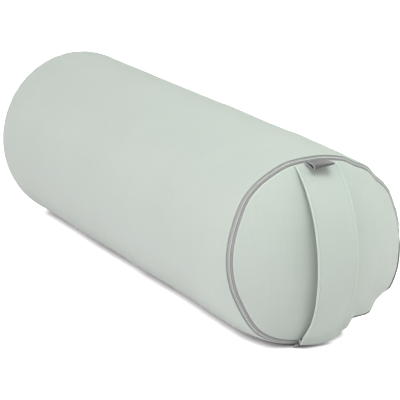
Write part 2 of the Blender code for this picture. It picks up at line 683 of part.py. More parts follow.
def liner_flat(y, limit):
    """The furthest that the liner's right side reaches, where its own zip needs a flat place: limit along the
    zip, and out of the way beyond it."""
    half = LINER_ZIP_LENGTH / 2 + LINER_FLAT_MARGIN
    outside = smooth_step((np.abs(y - MIDDLE[1]) - half) / LINER_FLAT_RAMP)
    return limit + outside * (2 * LINER_FLAT_DEPTH)


def liner_layer(skin, t, across, depth, flat_limit):
    """A layer of the inner cushion: deeper under the cover's zip, and flattened beside its own."""
    made = layer(skin, t, across, depth)
    made[..., 0] = np.minimum(made[..., 0], liner_flat(made[..., 1], flat_limit))
    return made


def liner_stations():
    """Distances along the liner's tube. The flat for its zip starts and ends on a station."""
    half = LINER_ZIP_LENGTH / 2 + LINER_FLAT_MARGIN
    middle = tube_length() / 2
    flat = [middle - half - LINER_FLAT_RAMP, middle - half, middle + half, middle + half + LINER_FLAT_RAMP]
    rim = np.array([SEAM_GAP / 2 + LINER_CLOTH])
    stations = tube_stations(rim, rim, curve=0.0)[:, 0]
    stations = stations[np.abs(stations - middle) > LINER_FLAT_RAMP]
    return np.unique(np.concatenate([stations, flat]))


def inner_depth(along):
    """How deep the liner lies along the tube."""
    end = np.minimum(along, tube_length() - along)
    deep = rim_bump(end) * (along * 2 < tube_length())
    return LINER_DEPTH + deep * (LINER_RIM_DEPTH - LINER_DEPTH)


def make_inner_cushion(cloth, husk):
    t = rounds(LINER_AROUND)
    along = liner_stations()
    depth = inner_depth(along)
    limit = HALF_WIDTH - LINER_FLAT_DEPTH
    outer = liner_layer(tube_skin, t, along[:, None], depth[:, None], limit)
    inner = liner_layer(tube_skin, t, along[:, None], depth[:, None] + LINER_CLOTH, limit - LINER_CLOTH)
    liner = loft("liner_tube", np.concatenate([outer, inner[::-1]]), cloth, wrap_rows=True)
    combine(liner, [liner_slot()], "DIFFERENCE")
    panel_depths = {front_skin: LINER_RIM_DEPTH, rear_skin: LINER_DEPTH}
    for name, skin in (("liner_front_panel", front_skin), ("liner_rear_panel", rear_skin)):
        radii = panel_radii(np.array([SEAM_GAP / 2 + LINER_CLOTH]))
        rim = rim_bump((SEAM_RADIUS - radii) / math.sin(RIM_ANGLE))
        depth = LINER_DEPTH + rim * (panel_depths[skin] - LINER_DEPTH)
        panel_wall(name, skin, t, radii, depth, LINER_CLOTH, cloth)
    make_filling(husk, t, along)


def liner_slot():
    """The cutter for the liner's opening, as wide as the chain that fills it."""
    half = LINER_ZIP_LENGTH / 2
    face = HALF_WIDTH - LINER_FLAT_DEPTH
    wide = CLOTH_EDGE
    low = (face - 3 * LINER_CLOTH, MIDDLE[1] - half, WIDEST_HEIGHT - wide)
    high = (face + 3 * LINER_CLOTH, MIDDLE[1] + half, WIDEST_HEIGHT + wide)
    return box_mesh("liner slot", low, high)


def make_filling(husk, t, along):
    """The husks as one solid that fills the liner, with room for the inner half of the liner's zip."""
    clear = HALF_WIDTH - LINER_FLAT_DEPTH + LINER_CLOTH + BOTTOM_PLATE_BASE + COVER_CLOTH - 2 * GAP
    depth = inner_depth(along) + FILLING_STEP
    tube = liner_layer(tube_skin, t, along[1:-1, None], depth[1:-1, None], clear - 2 * LINER_CLOTH)
    radii = panel_radii(np.array([0.0]))[2:]
    rim = rim_bump((SEAM_RADIUS - radii) / math.sin(RIM_ANGLE))
    front_depth = LINER_DEPTH + FILLING_STEP + rim * (LINER_RIM_DEPTH - LINER_DEPTH)
    front = layer(front_skin, t, radii, front_depth)
    rear_depth = LINER_DEPTH + FILLING_STEP
    rear = layer(rear_skin, t, radii, rear_depth)
    poles = [pole_of(front_skin, front_depth[-1, 0]), pole_of(rear_skin, rear_depth)]
    loft("husk_filling", np.concatenate([front[::-1], tube, rear]), husk, poles=poles)


def liner_frame(y, height):
    """A frame on the liner's flat side: X along the bolster, Y up and Z off the liner."""
    base = HALF_WIDTH - LINER_FLAT_DEPTH + (COVER_CLOTH - LINER_CLOTH)
    place = Vector((base + height, y, WIDEST_HEIGHT))
    axes = (Vector((0.0, 1.0, 0.0)), Vector((0.0, 0.0, 1.0)), Vector((1.0, 0.0, 0.0)))
    return Matrix.Translation(place) @ Matrix(axes).transposed().to_4x4()


def make_liner_zip(tape, coil, metal):
    """The liner's zip is the cover's, straight: its heights are taken from the same chain."""
    half = LINER_ZIP_LENGTH / 2 - GAP
    frame = liner_frame(MIDDLE[1], 0.0)
    inner = half - END_STOP_LENGTH - GAP
    for word, side in (("upper", 1.0), ("lower", -1.0)):
        edges = sorted((side * COIL_INNER, side * LINER_ZIP_TAPE_WIDTH))
        mesh = box_mesh("tape", (-half, edges[0], TAPE_BASE), (half, edges[1], TAPE_TOP))
        add_object(f"liner_zip_tape_{word}", mesh, tape).matrix_world = frame
        outline = [(side * across, height) for across, height in coil_outline()]
        rings = np.array([[(end, across, height) for end in (-inner, inner)] for across, height in outline])
        made = loft(f"liner_zip_coil_{word}", rings, coil, wrap_rows=True, wrap_round=False)
        made.matrix_world = frame
    for word, end in (("bottom", -1.0), ("top", 1.0)):
        ends = sorted((end * half, end * (half - END_STOP_LENGTH)))
        low = (ends[0], -COIL_OUTER, COIL_BASE)
        high = (ends[1], COIL_OUTER, COIL_TOP)
        made = add_object(f"liner_zip_{word}_stop", box_mesh("stop", low, high), coil)
        made.matrix_world = frame
    closed = MIDDLE[1] + inner - SLIDER_LENGTH / 2
    make_slider("liner_zip_slider", metal, liner_frame(closed, 0.0))
    make_pull("liner_zip_pull", metal, liner_frame(closed, PIN_HEIGHT))


def main():
    clear_scene()
    cover = material("sage cotton", COVER_COLOUR, 0.9)
    liner = material("natural cotton", LINER_COLOUR, 0.9)
    husk = material("husk", HUSK_COLOUR, 0.95)
    tape = material("zip tape", TAPE_COLOUR, 0.8)
    coil = material("zip coil", COIL_COLOUR, 0.5)
    metal = material("zip metal", METAL_COLOUR, 0.35, metallic=1.0)
    ribbon = material("label ribbon", LABEL_COLOUR, 0.7)
    make_cover(cover)
    make_cover_zip(tape, coil)
    make_strap(cover)
    make_label(ribbon)
    make_cover_slider(metal)
    make_inner_cushion(liner, husk)
    make_liner_zip(tape, coil, metal)


main()
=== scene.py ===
"""A round yoga bolster, dressed around its packed frame: cotton cover, coil zip, carry strap and ribbon
label, with the inner cushion and its husks.

It is laid out as an add-on and run as a script. The bolster lies along Y with its zipped end at -Y, on Z = 0.
Sizes are in metres. The angle t runs round the bolster's axis, from +X towards +Z, so that 90 degrees is up.
"""

import math

import bmesh
import bpy
import numpy as np
from bpy.props import FloatProperty, FloatVectorProperty, IntProperty, PointerProperty
from mathutils import Matrix, Vector


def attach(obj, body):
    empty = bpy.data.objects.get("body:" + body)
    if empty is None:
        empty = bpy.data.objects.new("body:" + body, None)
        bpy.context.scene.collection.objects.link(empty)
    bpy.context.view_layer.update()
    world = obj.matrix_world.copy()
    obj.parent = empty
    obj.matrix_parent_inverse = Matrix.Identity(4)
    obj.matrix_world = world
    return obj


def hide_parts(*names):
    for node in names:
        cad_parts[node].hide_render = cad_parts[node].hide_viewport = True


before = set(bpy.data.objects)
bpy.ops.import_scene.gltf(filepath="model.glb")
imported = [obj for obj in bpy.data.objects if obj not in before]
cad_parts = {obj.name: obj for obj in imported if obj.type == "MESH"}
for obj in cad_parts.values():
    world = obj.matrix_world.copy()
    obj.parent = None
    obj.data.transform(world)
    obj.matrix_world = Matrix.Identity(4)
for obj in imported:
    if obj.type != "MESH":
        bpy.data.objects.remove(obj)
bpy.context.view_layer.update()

bl_info = {
    "name": "Yoga bolster",
    "version": (1, 0, 0),
    "blender": (4, 5, 0),
    "location": "View3D > Sidebar > Bolster",
    "description": "A zipped cotton yoga bolster with a carry strap, and a plain studio round it",
    "category": "Object",
}

# The shapes that the packed solids share
SEAM_RADIUS = 0.0980
SEAM_FLOOR_GAP = 0.0035
SEAM_TO_SEAM = 0.640
SIDE_SWELL = 0.0120
TOP_SWELL = 0.0011
CONTACT_HALF_WIDTH = 0.041
RIM_ANGLE = math.radians(40.0)
RIM_FLAT = 0.0040
RIM_SWELL = 0.0008
FRONT_SHOULDER = 0.049
REAR_SHOULDER = 0.025
FRONT_CROWN = 0.036
FRONT_DOME_POWER = 2.4
REAR_CROWN = 0.022
REAR_DOME_POWER = 3.4
GAP = 0.0003
COVER_CLOTH = 0.0010
LINER_CLOTH = 0.0006
LINER_SLACK = 0.0005
COIL_INNER = 0.00050
COIL_OUTER = 0.00265
COIL_HEIGHT = 0.0015
TAPE_THICK = 0.0006
TAPE_WIDTH = 0.0120
SLIDER_PLATE = 0.0008
CLOTH_EDGE = 0.00385
SEWN_EDGE = 0.00015
ZIP_CLOSED_END = math.radians(268.5)
ZIP_OPEN_END = math.radians(6.0)
ZIP_MOUTH_TAPER = 0.0080
END_STOP_LENGTH = 0.0030
STRAP_HALF_WIDTH = 0.0240
STRAP_THICK = 0.0020
STRAP_LIFT = 0.0110
STRAP_TURN = math.radians(2.2)
STRAP_TOP_POWER = 2.2
STRAP_FOOT_POWER = 2.0
STRAP_WAIST = 0.085
STRAP_WAIST_POWER = 3.0
STRAP_LEAN_POWER = 1.3
STRAP_FOOT_PLY = 0.0040
STRAP_FOOT_BEND = 0.0004
STRAP_FOOT_JOIN = -0.86
STRAP_FOOT_HANDLE = 0.38
STRAP_ROOT_GAP = 0.0007
STRAP_SLOPE_STEP = 0.01
LABEL_WIDTH = 0.0210
LABEL_CLOTH = 0.00035
LABEL_ANGLE = math.radians(91.9)
LINER_ZIP_LENGTH = 0.220
LINER_ZIP_TAPE_WIDTH = 0.0080
LINER_FLAT_DEPTH = 0.0080
LINER_FLAT_RAMP = 0.030
LINER_FLAT_MARGIN = 0.015

# How the filling and the seams move the cloth. Each set of gathers is (seed, waves round the seam, height,
# how far they reach), and each of ripples (seed, most waves round, most waves per metre, height)
SEAM_FOLD_REACH = 0.022
SEAM_FOLD_POWER = 1.3
PANEL_FOLD_REACH = 0.014
TUBE_REAR_GATHERS = (5, 44, 0.0004, 0.009)
TUBE_FRONT_GATHERS = (6, 52, 0.00018, 0.008)
FRONT_PANEL_GATHERS = (3, 48, 0.00034, 0.011)
FRONT_PANEL_GATHERS_INSET = 0.002
REAR_PANEL_GATHERS = (8, 48, 0.00030, 0.009)
REAR_PANEL_GATHERS_INSET = 0.003
TUBE_RIPPLES = ((11, 4, 7.0, 0.0007), (12, 16, 26.0, 0.00022))
TUBE_RIPPLES_INSET = 0.040
RIPPLE_COUNT = 14
FRONT_UNEVEN_SEED = 3
REAR_UNEVEN_SEED = 8
UNEVEN_HEIGHT = 0.0006
UNEVEN_INSET = 0.03
STRAP_CLEAR_BESIDE = 0.001
STRAP_CLEAR_BESIDE_RAMP = 0.008
STRAP_CLEAR_INSIDE = 0.012
STRAP_CLEAR_INSIDE_RAMP = 0.015
FAR = 1.0

# The cover's edges along the front seam, with angles in degrees, and the growing steps in from an edge
EDGE_NEARER = 0.0006
EDGE_NEARER_START = 20.0
EDGE_NEARER_START_RAMP = 15.0
EDGE_NEARER_END = 155.0
EDGE_NEARER_END_RAMP = 25.0
TAIL_EDGE = 0.0005
TAIL_END = -64.0
TAIL_END_RAMP = 5.0
# A painted highlight on the front panel's cloth: how wide a paler ring runs in from its turned edge, and how
# much paler it is
EDGE_HIGHLIGHT_WIDTH = 0.0011
EDGE_HIGHLIGHT_GAIN = 1.15
FIRST_STEP = 0.00035
STEP_RATIO = 1.22
COVER_TUBE_STEP = 0.005
COVER_PANEL_STEP = 0.003
LINER_TUBE_STEP = 0.006
LINER_PANEL_STEP = 0.004

# The tapes' tail: how much of its height stands out, as (degrees round the seam, share), and its section from
# its root to its folded edge, as (half thickness, share of what stands out, height besides)
TAIL_STAND = ((-50.0, 0.8), (-46.0, 0.1), (-35.0, 0.1), (-30.0, 1.0), (-8.0, 1.0), (1.0, 0.4))
TAIL_SECTION = (
    (0.00036, 0.0, -0.0012), (0.00036, 0.0, -0.0002), (0.00036, 0.6, 0.0), (0.00030, 0.9, 0.0),
    (0.00016, 1.0, 0.0),
)

# The zip's chain and tapes
COIL_STEPS = 14
WIRE_SIDES = 6
COIL_HOOK = 0.00045
COIL_RIDGE = 0.00022
COIL_PARTED = 0.013
COIL_CLOSING = 0.005
TAPE_PAST_RIM = 0.0052
TAPE_STATIONS = 306
TAIL_STATIONS = 200
# The tapes' tail is drawn in a darker copy of the tape's colour: painted shade
TAIL_PAINTED_SHADE = 0.33
LINER_TAPE_STATIONS = 60
STOP_ROUNDING = 0.00025
METAL_ROUNDING = 0.00016
SLOT_REACH = 0.003
SPECK_DEPTH = 0.00002

# The strap and its stitching
STRAP_COLUMNS = 129
STRAP_ROWS = 130
STRAP_EDGE_STEPS = 7
STRAP_BEND_STEPS = 10
STRAP_RISE_STEPS = 12
STRAP_MIDDLE_SUNK = 0.00025
STRAP_TOP_THINNER = 0.45
STRAP_TOP_THINNER_START = 0.90
STRAP_TOP_THINNER_RAMP = 0.08
# A painted highlight along the strap's folded edges: how much paler its cloth is outside the stitching, and
# how far past the groove that starts
STRAP_EDGE_HIGHLIGHT_GAIN = 1.10
HIGHLIGHT_PAST_GROOVE = 0.0004
GROOVE_DEPTH = 0.0006
GROOVE_WIDTH = 0.0005
STITCH_RADIUS = 0.00024
STITCH_RISE = 0.0001
STITCH_HALF_SHARE = 0.42
STITCH_LAST = 0.97

# The label, the threads of the other cloths and the filling
LABEL_STATIONS = 45
LABEL_FOLD_STEPS = 15
LABEL_PLY_STEPS = 16
LABEL_SELVEDGE = 0.0009
RIBBON_THREAD = 0.0004
COARSE_THREAD = 0.0007
FILLING_TUBE_ROWS = 170
FILLING_PANEL_ROWS = 34
FILLING_ENDWAYS = 0.2

RIM_SLOPE = math.sin(RIM_ANGLE)
RIM_LEVEL = math.cos(RIM_ANGLE)
POLE_RADIUS = 0.01 * SEAM_RADIUS
PANEL_RUN = 0.96 * SEAM_RADIUS
FILLING_RADIUS = 0.985 * SEAM_RADIUS
SEAM_CENTRE = SEAM_RADIUS + SEAM_FLOOR_GAP
STRAP_REACH = FRONT_CROWN + GAP + STRAP_LIFT + STRAP_THICK
FRONT_Y = (STRAP_REACH - SEAM_TO_SEAM - REAR_CROWN) / 2
REAR_Y = FRONT_Y + SEAM_TO_SEAM
MIDDLE = np.array([0.0, (FRONT_Y + REAR_Y) / 2, SEAM_CENTRE])
PANEL_EDGE_RADIUS = SEAM_RADIUS - RIM_FLAT * RIM_SLOPE
TUBE_LENGTH = SEAM_TO_SEAM + 2 * RIM_FLAT * (1 - RIM_LEVEL)
HALF_WIDTH = SEAM_RADIUS + SIDE_SWELL
SETTLED_HEIGHT = SEAM_FLOOR_GAP + 2 * SEAM_RADIUS + TOP_SWELL
LEAN = math.sqrt(1 - (CONTACT_HALF_WIDTH / HALF_WIDTH) ** 2)
RISE = SETTLED_HEIGHT / (1 + LEAN)
WIDEST_HEIGHT = RISE * LEAN
COIL_BASE = -COVER_CLOTH
COIL_TOP = COIL_BASE + COIL_HEIGHT
TAPE_TOP = COIL_BASE - GAP
BOTTOM_PLATE_BASE = TAPE_TOP - TAPE_THICK - GAP - SLIDER_PLATE
LINER_DEPTH = COVER_CLOTH + LINER_SLACK
LINER_RIM_DEPTH = LINER_SLACK - BOTTOM_PLATE_BASE
LINER_FLAT_X = HALF_WIDTH - LINER_FLAT_DEPTH
LINER_EDGE = SEWN_EDGE + LINER_CLOTH
FILLING_STEP = LINER_CLOTH + LINER_SLACK

# Where the front seam leaves its circle, as degrees round it and millimetres outwards: it is pressed in under
# the label, bulges at the upper left and low down at both sides, and is puckered along its sewn stretch.
# SEAM_BROAD moves all that is sewn into the seam, and SEAM_FOLDS only the cloth beside it
SEAM_BROAD = (
    (0, 0.3), (4, 0.0), (18, 0.0), (21, -0.5), (25, -0.1), (31, 0.8), (37, 0.0), (41, -1.4), (45, -2.8),
    (49, -1.1), (54, -0.5), (58, -1.8), (63, -3.4), (67, -2.6), (72, -1.9), (78, -2.7), (90, -3.1),
    (97, -2.9), (104, -1.6), (112, 0.0), (122, 0.5), (130, 1.7), (138, 2.4), (145, 1.9), (154, -0.1),
    (163, -0.8), (180, -0.5), (196, -0.3), (210, -0.1), (220, 1.9), (229, 4.5), (238, 4.4), (248, 2.2),
    (257, 0.0), (275, 0.0), (279, -1.3), (284, -2.7), (292, -2.2), (300, -1.5), (311, -0.1), (321, 0.8),
    (331, 3.9), (341, 3.6), (351, 1.4),
)
SEAM_FOLDS = (
    (295, -0.3), (297.9, -4.0), (299.8, -7.0), (302, -5.6), (305.7, -2.5), (308.7, 0.2), (311, 0.9),
    (313.9, 0.2), (317.7, -2.0), (320.4, -2.9), (323.7, -2.1), (327.3, -0.4), (330, 0.5), (333, 0.0),
)


def full_turn(count):
    """Evenly spaced angles round a full turn."""
    return np.arange(count) * 2 * math.pi / count


def paired(first, second):
    """Two arrays as the last axis of one."""
    return np.stack(np.broadcast_arrays(first, second), axis=-1)


def outwards(t):
    """The direction away from the bolster's axis at the angle t."""
    return np.stack([np.cos(t), 0.0 * t, np.sin(t)], axis=-1)


def round_points(t, radius, y):
    """Points at the angle t and radius about the seam's middle."""
    return np.stack(np.broadcast_arrays(radius * np.cos(t), y, SEAM_CENTRE + radius * np.sin(t)), axis=-1)


def smooth_step(value):
    """0 below 0, 1 above 1, and the S curve 3 v^2 - 2 v^3 between."""
    held = np.clip(value, 0.0, 1.0)
    return held * held * (3.0 - 2.0 * held)


def round_table(pairs, spread):
    """A smooth function of the angle t through (degrees, millimetres) pairs: straight lines between them,
    blurred round the circle by a bell of that spread in degrees."""
    degrees = np.arange(0.0, 360.0, 0.5)
    knots = np.array(pairs, dtype=float)
    line = np.interp(degrees, knots[:, 0], knots[:, 1], period=360.0)
    offset = np.minimum(degrees, 360.0 - degrees)
    bell = np.exp(-0.5 * (offset / spread) ** 2)
    blurred = np.fft.irfft(np.fft.rfft(line) * np.fft.rfft(bell / bell.sum()), n=len(degrees))
    return lambda t: np.interp(np.degrees(t), degrees, blurred, period=360.0) / 1000.0


seam_broad = round_table(SEAM_BROAD, 1.8)
seam_folds = round_table(((0, 0.0), (180, 0.0), *SEAM_FOLDS), 0.9)


def ripples(seed, round_waves, along_waves, t, along):
    """A smooth uneven field, roughly -1 to 1: a sum of waves cos(k t + w along + phase). k is whole and up to
    round_waves, so that the field closes round the bolster, and w is up to along_waves per metre."""
    draw = np.random.default_rng(seed)
    field = 0.0
    for _ in range(RIPPLE_COUNT):
        turns = draw.integers(-round_waves, round_waves + 1)
        pitch = draw.uniform(-along_waves, along_waves) * 2 * math.pi
        field = field + np.cos(turns * t + pitch * along + draw.uniform(0, 2 * math.pi))
    return field / math.sqrt(RIPPLE_COUNT / 2) / 1.6


def gathers(kind, t, away):
    """Small gathers along a seam: two sets of whole waves round it that drift in and out of step, and fade
    away from it as exp(-away / reach)."""
    seed, waves, height, reach = kind
    phases = np.random.default_rng(seed).uniform(0, 2 * math.pi, 4)
    fine = np.cos(waves * t + phases[0]) + 0.7 * np.cos((waves * 0.62 // 1) * t + phases[1])
    drift = 0.6 + 0.4 * np.cos(5 * t + phases[2]) * np.cos(3 * t + phases[3])
    return height * (fine * drift / 1.7) * np.exp(-away / reach)


def settled_skin(t, along):
    """The cover's outer face on the tube, smooth. along runs from the front seam's middle, 0, to the rear
    one's. At a seam the section is the seam's circle on a flat rim, and over the shoulder it becomes an oval
    of half width HALF_WIDTH, whose foot layer() cuts flat at the floor. Returns x, y, z, how settled the
    section is, and the distance from the rim's flat."""
    near_front = along * 2 < TUBE_LENGTH
    end = np.minimum(along, TUBE_LENGTH - along)
    flat = np.minimum(end, RIM_FLAT)
    run = np.maximum(end - RIM_FLAT, 0.0)
    swell = RIM_SWELL * (1 - np.exp(-run * math.tan(RIM_ANGLE) / RIM_SWELL))
    radius = SEAM_RADIUS + flat * RIM_SLOPE + swell
    behind = flat * RIM_LEVEL + run
    shoulder = np.where(near_front, FRONT_SHOULDER, REAR_SHOULDER)
    settled = 1 - (1 - np.minimum(run / shoulder, 1.0)) ** 2
    x = (1 - settled) * radius * np.cos(t) + settled * HALF_WIDTH * np.cos(t)
    z = (1 - settled) * (SEAM_CENTRE + radius * np.sin(t)) + settled * RISE * (LEAN + np.sin(t))
    y = np.where(near_front, FRONT_Y + behind, REAR_Y - behind) + 0.0 * t
    return x, y, z, settled, run


def tube_skin(t, along):
    """The settled skin with its life: the seam's own bulges and folds fade out over the shoulder, both seams
    gather the cloth a little, and the filling lies unevenly under it."""
    t, along = np.broadcast_arrays(t, along)
    x, y, z, settled, run = settled_skin(t, along)
    near_front = along * 2 < TUBE_LENGTH
    front_run = np.where(near_front, run, FAR)
    rear_run = np.where(near_front, FAR, run)
    push = seam_broad(t) * (1 - settled) * near_front
    push = push + seam_folds(t) * np.exp(-((front_run / SEAM_FOLD_REACH) ** SEAM_FOLD_POWER))
    push = push + gathers(TUBE_REAR_GATHERS, t, rear_run) + gathers(TUBE_FRONT_GATHERS, t, front_run)
    away = smooth_step(run / TUBE_RIPPLES_INSET)
    for seed, round_waves, along_waves, height in TUBE_RIPPLES:
        push = push + height * ripples(seed, round_waves, along_waves, t, along) * away
    return np.stack([x, y, z], axis=-1) + push[..., None] * outwards(t)


def plain_dome(radius, crown, power):
    """How far a round end panel stands past its seam: the flat rim, then a dome of height crown that falls as
    (radius / edge radius) to the given power."""
    radius = np.abs(radius)
    rim = np.maximum(radius - PANEL_EDGE_RADIUS, 0.0) / math.tan(RIM_ANGLE)
    rise = crown - RIM_FLAT * RIM_LEVEL
    share = np.minimum(radius, PANEL_EDGE_RADIUS) / PANEL_EDGE_RADIUS
    return RIM_FLAT * RIM_LEVEL - rim + rise * (1 - share**power)


def strap_clearance(x, up):
    """0 where the strap's ends lie on the panel, 1 elsewhere."""
    beside = np.abs(x * math.cos(STRAP_TURN) + up * math.sin(STRAP_TURN)) - STRAP_HALF_WIDTH
    inside = SEAM_RADIUS - np.hypot(x, up)
    return np.maximum(
        smooth_step((beside - STRAP_CLEAR_BESIDE) / STRAP_CLEAR_BESIDE_RAMP),
        smooth_step((inside - STRAP_CLEAR_INSIDE) / STRAP_CLEAR_INSIDE_RAMP),
    )


def panel_place(t, radius):
    """A place on a round panel: its angle and radius, its x and height from the seam's middle, and how far it
    lies in from the flat rim."""
    t, radius = np.broadcast_arrays(t, radius)
    inside = PANEL_EDGE_RADIUS - np.minimum(np.abs(radius), PANEL_EDGE_RADIUS)
    return t, radius, radius * np.cos(t), radius * np.sin(t), inside


def front_skin(t, radius):
    """The front panel's outer face: its plain dome, uneven where the filling pushes it, with short creases
    that run in from the zip, and moved in its own plane by the seam's bulges and folds."""
    t, radius, x, up, inside = panel_place(t, radius)
    creases = gathers(FRONT_PANEL_GATHERS, t, inside) * smooth_step(inside / FRONT_PANEL_GATHERS_INSET)
    life = uneven(x, up, inside, FRONT_UNEVEN_SEED) + creases
    reach = plain_dome(radius, FRONT_CROWN, FRONT_DOME_POWER) + life * strap_clearance(x, up)
    size = np.minimum(np.abs(radius), SEAM_RADIUS)
    push = seam_broad(t) * (size / SEAM_RADIUS) ** 2
    push = push + seam_folds(t) * np.exp(-(SEAM_RADIUS - size) / PANEL_FOLD_REACH)
    return np.stack([x, FRONT_Y - reach, SEAM_CENTRE + up], axis=-1) + push[..., None] * outwards(t)


def rear_skin(t, radius):
    """The rear panel's outer face: its plain dome, a little uneven and gathered along its seam."""
    t, radius, x, up, inside = panel_place(t, radius)
    creases = gathers(REAR_PANEL_GATHERS, t, inside) * smooth_step(inside / REAR_PANEL_GATHERS_INSET)
    life = uneven(x, up, inside, REAR_UNEVEN_SEED) + creases
    reach = plain_dome(radius, REAR_CROWN, REAR_DOME_POWER) + life
    return np.stack([x, REAR_Y + reach, SEAM_CENTRE + up], axis=-1)


def uneven(x, up, inside, seed):
    """Broad and finer soft bumps across a panel, each a product of two cosines whose waves are in radians per
    metre, that fade out at its rim."""
    broad = np.cos(31 * x + 5 * up + seed) * np.cos(43 * up - 9 * x + 2 * seed)
    fine = np.cos(90 * x - 38 * up + 3 * seed) * np.cos(70 * up + 24 * x + seed)
    return UNEVEN_HEIGHT * (broad + 0.5 * fine) * smooth_step(inside / UNEVEN_INSET)


def plain_front_face(x, up):
    """The front panel's face without its unevenness, by x and by height above the seam's middle."""
    reach = plain_dome(np.hypot(x, up), FRONT_CROWN, FRONT_DOME_POWER)
    return np.stack([x, FRONT_Y - reach, SEAM_CENTRE + up], axis=-1)


def follow_seam(points):
    """Moves points at the front end with the seam's bulges, by their whole at the seam and by (radius / seam
    radius)^2 of them inside it, as the panel does."""
    x, up = points[..., 0], points[..., 2] - SEAM_CENTRE
    t = np.arctan2(up, x)
    push = seam_broad(t) * np.minimum(np.hypot(x, up) / SEAM_RADIUS, 1.0) ** 2
    return points + push[..., None] * outwards(t)


def layer(skin, t, across, depth):
    """Points that lie depth under a skin, square to it, and never nearer the floor than depth."""
    t, across, depth = np.broadcast_arrays(t, across, depth)
    step = 1e-5
    here = skin(t, across)
    round_slope = skin(t + step, across) - skin(t - step, across)
    across_slope = skin(t, across + step) - skin(t, across - step)
    normal = np.cross(round_slope, across_slope)
    normal /= np.linalg.norm(normal, axis=-1, keepdims=True)
    normal *= np.sign(np.sum(normal * (here - MIDDLE), axis=-1, keepdims=True))
    made = here - depth[..., None] * normal
    made[..., 2] = np.maximum(made[..., 2], np.maximum(depth, 0.0))
    return made


def grid_faces(rows, places, wrap_rows, wrap_round):
    """The squares between neighbouring points of a grid, as indices."""
    row = np.arange(rows if wrap_rows else rows - 1)
    place = np.arange(places if wrap_round else places - 1)
    low, here = np.meshgrid(row, place, indexing="ij")
    high, there = (low + 1) % rows, (here + 1) % places
    corners = (low * places + here, low * places + there, high * places + there, high * places + here)
    return np.stack(corners, axis=-1).reshape(-1, 4)


def placed(name, data):
    """A new object in the scene for the data."""
    made = bpy.data.objects.new(name, data)
    bpy.context.scene.collection.objects.link(made)
    return made


def closed_piece(name, verts, faces, finish, uv=None):
    """A piece from points and faces, its faces turned outwards. uv[point] goes into its UV map, in metres."""
    mesh = bpy.data.meshes.new(name)
    mesh.from_pydata(verts.tolist(), [], faces)
    if uv is not None:
        loops = np.zeros(len(mesh.loops), dtype=np.int32)
        mesh.loops.foreach_get("vertex_index", loops)
        mesh.uv_layers.new(name="cloth").data.foreach_set("uv", uv[loops].astype(np.float32).ravel())
    shape = bmesh.new()
    shape.from_mesh(mesh)
    bmesh.ops.recalc_face_normals(shape, faces=shape.faces)
    shape.to_mesh(mesh)
    shape.free()
    mesh.shade_smooth()
    mesh.materials.append(finish)
    return placed(name, mesh)


def grid_piece(name, points, finish, uv=None, wrap_rows=False, wrap_round=True, poles=(), capped=False):
    """A closed piece from points[row, place]. Its first and last rows end in poles, or its two sides or ends
    in caps. uv[row, place] goes into its UV map."""
    rows, places = points.shape[:2]
    faces = grid_faces(rows, places, wrap_rows, wrap_round).tolist()
    verts = points.reshape(-1, 3)
    around = np.arange(places)
    for pole, row in zip(poles, (0, rows - 1)):
        tip = len(verts)
        verts = np.concatenate([verts, np.array(pole)[None]])
        ring = row * places + around
        faces += np.stack([np.full(places, tip), ring, np.roll(ring, -1)], axis=-1).tolist()
    if capped and wrap_rows:
        faces += [(np.arange(rows) * places).tolist(), (np.arange(rows) * places + places - 1).tolist()]
    if capped and wrap_round:
        faces += [around.tolist(), ((rows - 1) * places + around).tolist()]
    if uv is not None:
        uv = np.concatenate([uv.reshape(-1, 2), np.zeros((len(verts) - rows * places, 2))])
    return closed_piece(name, verts, faces, finish, uv)


def strip_piece(name, points, finish, uv):
    """A long piece from points[place in its section, station along it], with a cap at each of its ends."""
    return grid_piece(name, points, finish, uv=uv, wrap_rows=True, wrap_round=False, capped=True)


def rod_group(name, points, finish):
    """Many small rods in one piece, from points[rod, ring, place round]: squares between a rod's rings, and a
    cap at each of its ends."""
    rods, rings, sides = points.shape[:3]
    index = np.arange(rods * rings * sides).reshape(rods, rings, sides)
    beside = np.roll(index, -1, axis=2)
    squares = np.stack([index[:, :-1], beside[:, :-1], beside[:, 1:], index[:, 1:]], axis=-1)
    faces = squares.reshape(-1, 4).tolist() + index[:, 0].tolist() + index[:, -1].tolist()
    return closed_piece(name, points.reshape(-1, 3), faces, finish)


def dress(piece, body, slot, *nodes):
    """The piece rides on its body and stands for the packed nodes, which are hidden. slot is not used."""
    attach(piece, body)
    if nodes:
        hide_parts(*nodes)
    return piece


def softened(node, body, slot, width, finish):
    """A hard piece in the packed node's own shape, its points merged and its edges rounded by width."""
    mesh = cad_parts[node].data.copy()
    shape = bmesh.new()
    shape.from_mesh(mesh)
    bmesh.ops.remove_doubles(shape, verts=shape.verts, dist=1e-6)
    bmesh.ops.dissolve_limit(shape, angle_limit=math.radians(1.0), verts=shape.verts, edges=shape.edges)
    bmesh.ops.recalc_face_normals(shape, faces=shape.faces)
    shape.to_mesh(mesh)
    shape.free()
    mesh.materials.clear()
    mesh.materials.append(finish)
    made = placed(f"{node}_rounded", mesh)
    rounding = made.modifiers.new("rounded edges", "BEVEL")
    rounding.width = width
    rounding.segments = 2
    rounding.limit_method = "ANGLE"
    rounding.harden_normals = True
    mesh.shade_smooth()
    return dress(made, body, slot, node)


def growing_steps(largest, length):
    """Places from 0 to length whose spacing grows from FIRST_STEP by STEP_RATIO each, up to about largest."""
    steps = [0.0]
    step = FIRST_STEP
    while steps[-1] < length:
        steps.append(steps[-1] + step)
        step = min(step * STEP_RATIO, largest)
    return np.array(steps) * length / steps[-1]


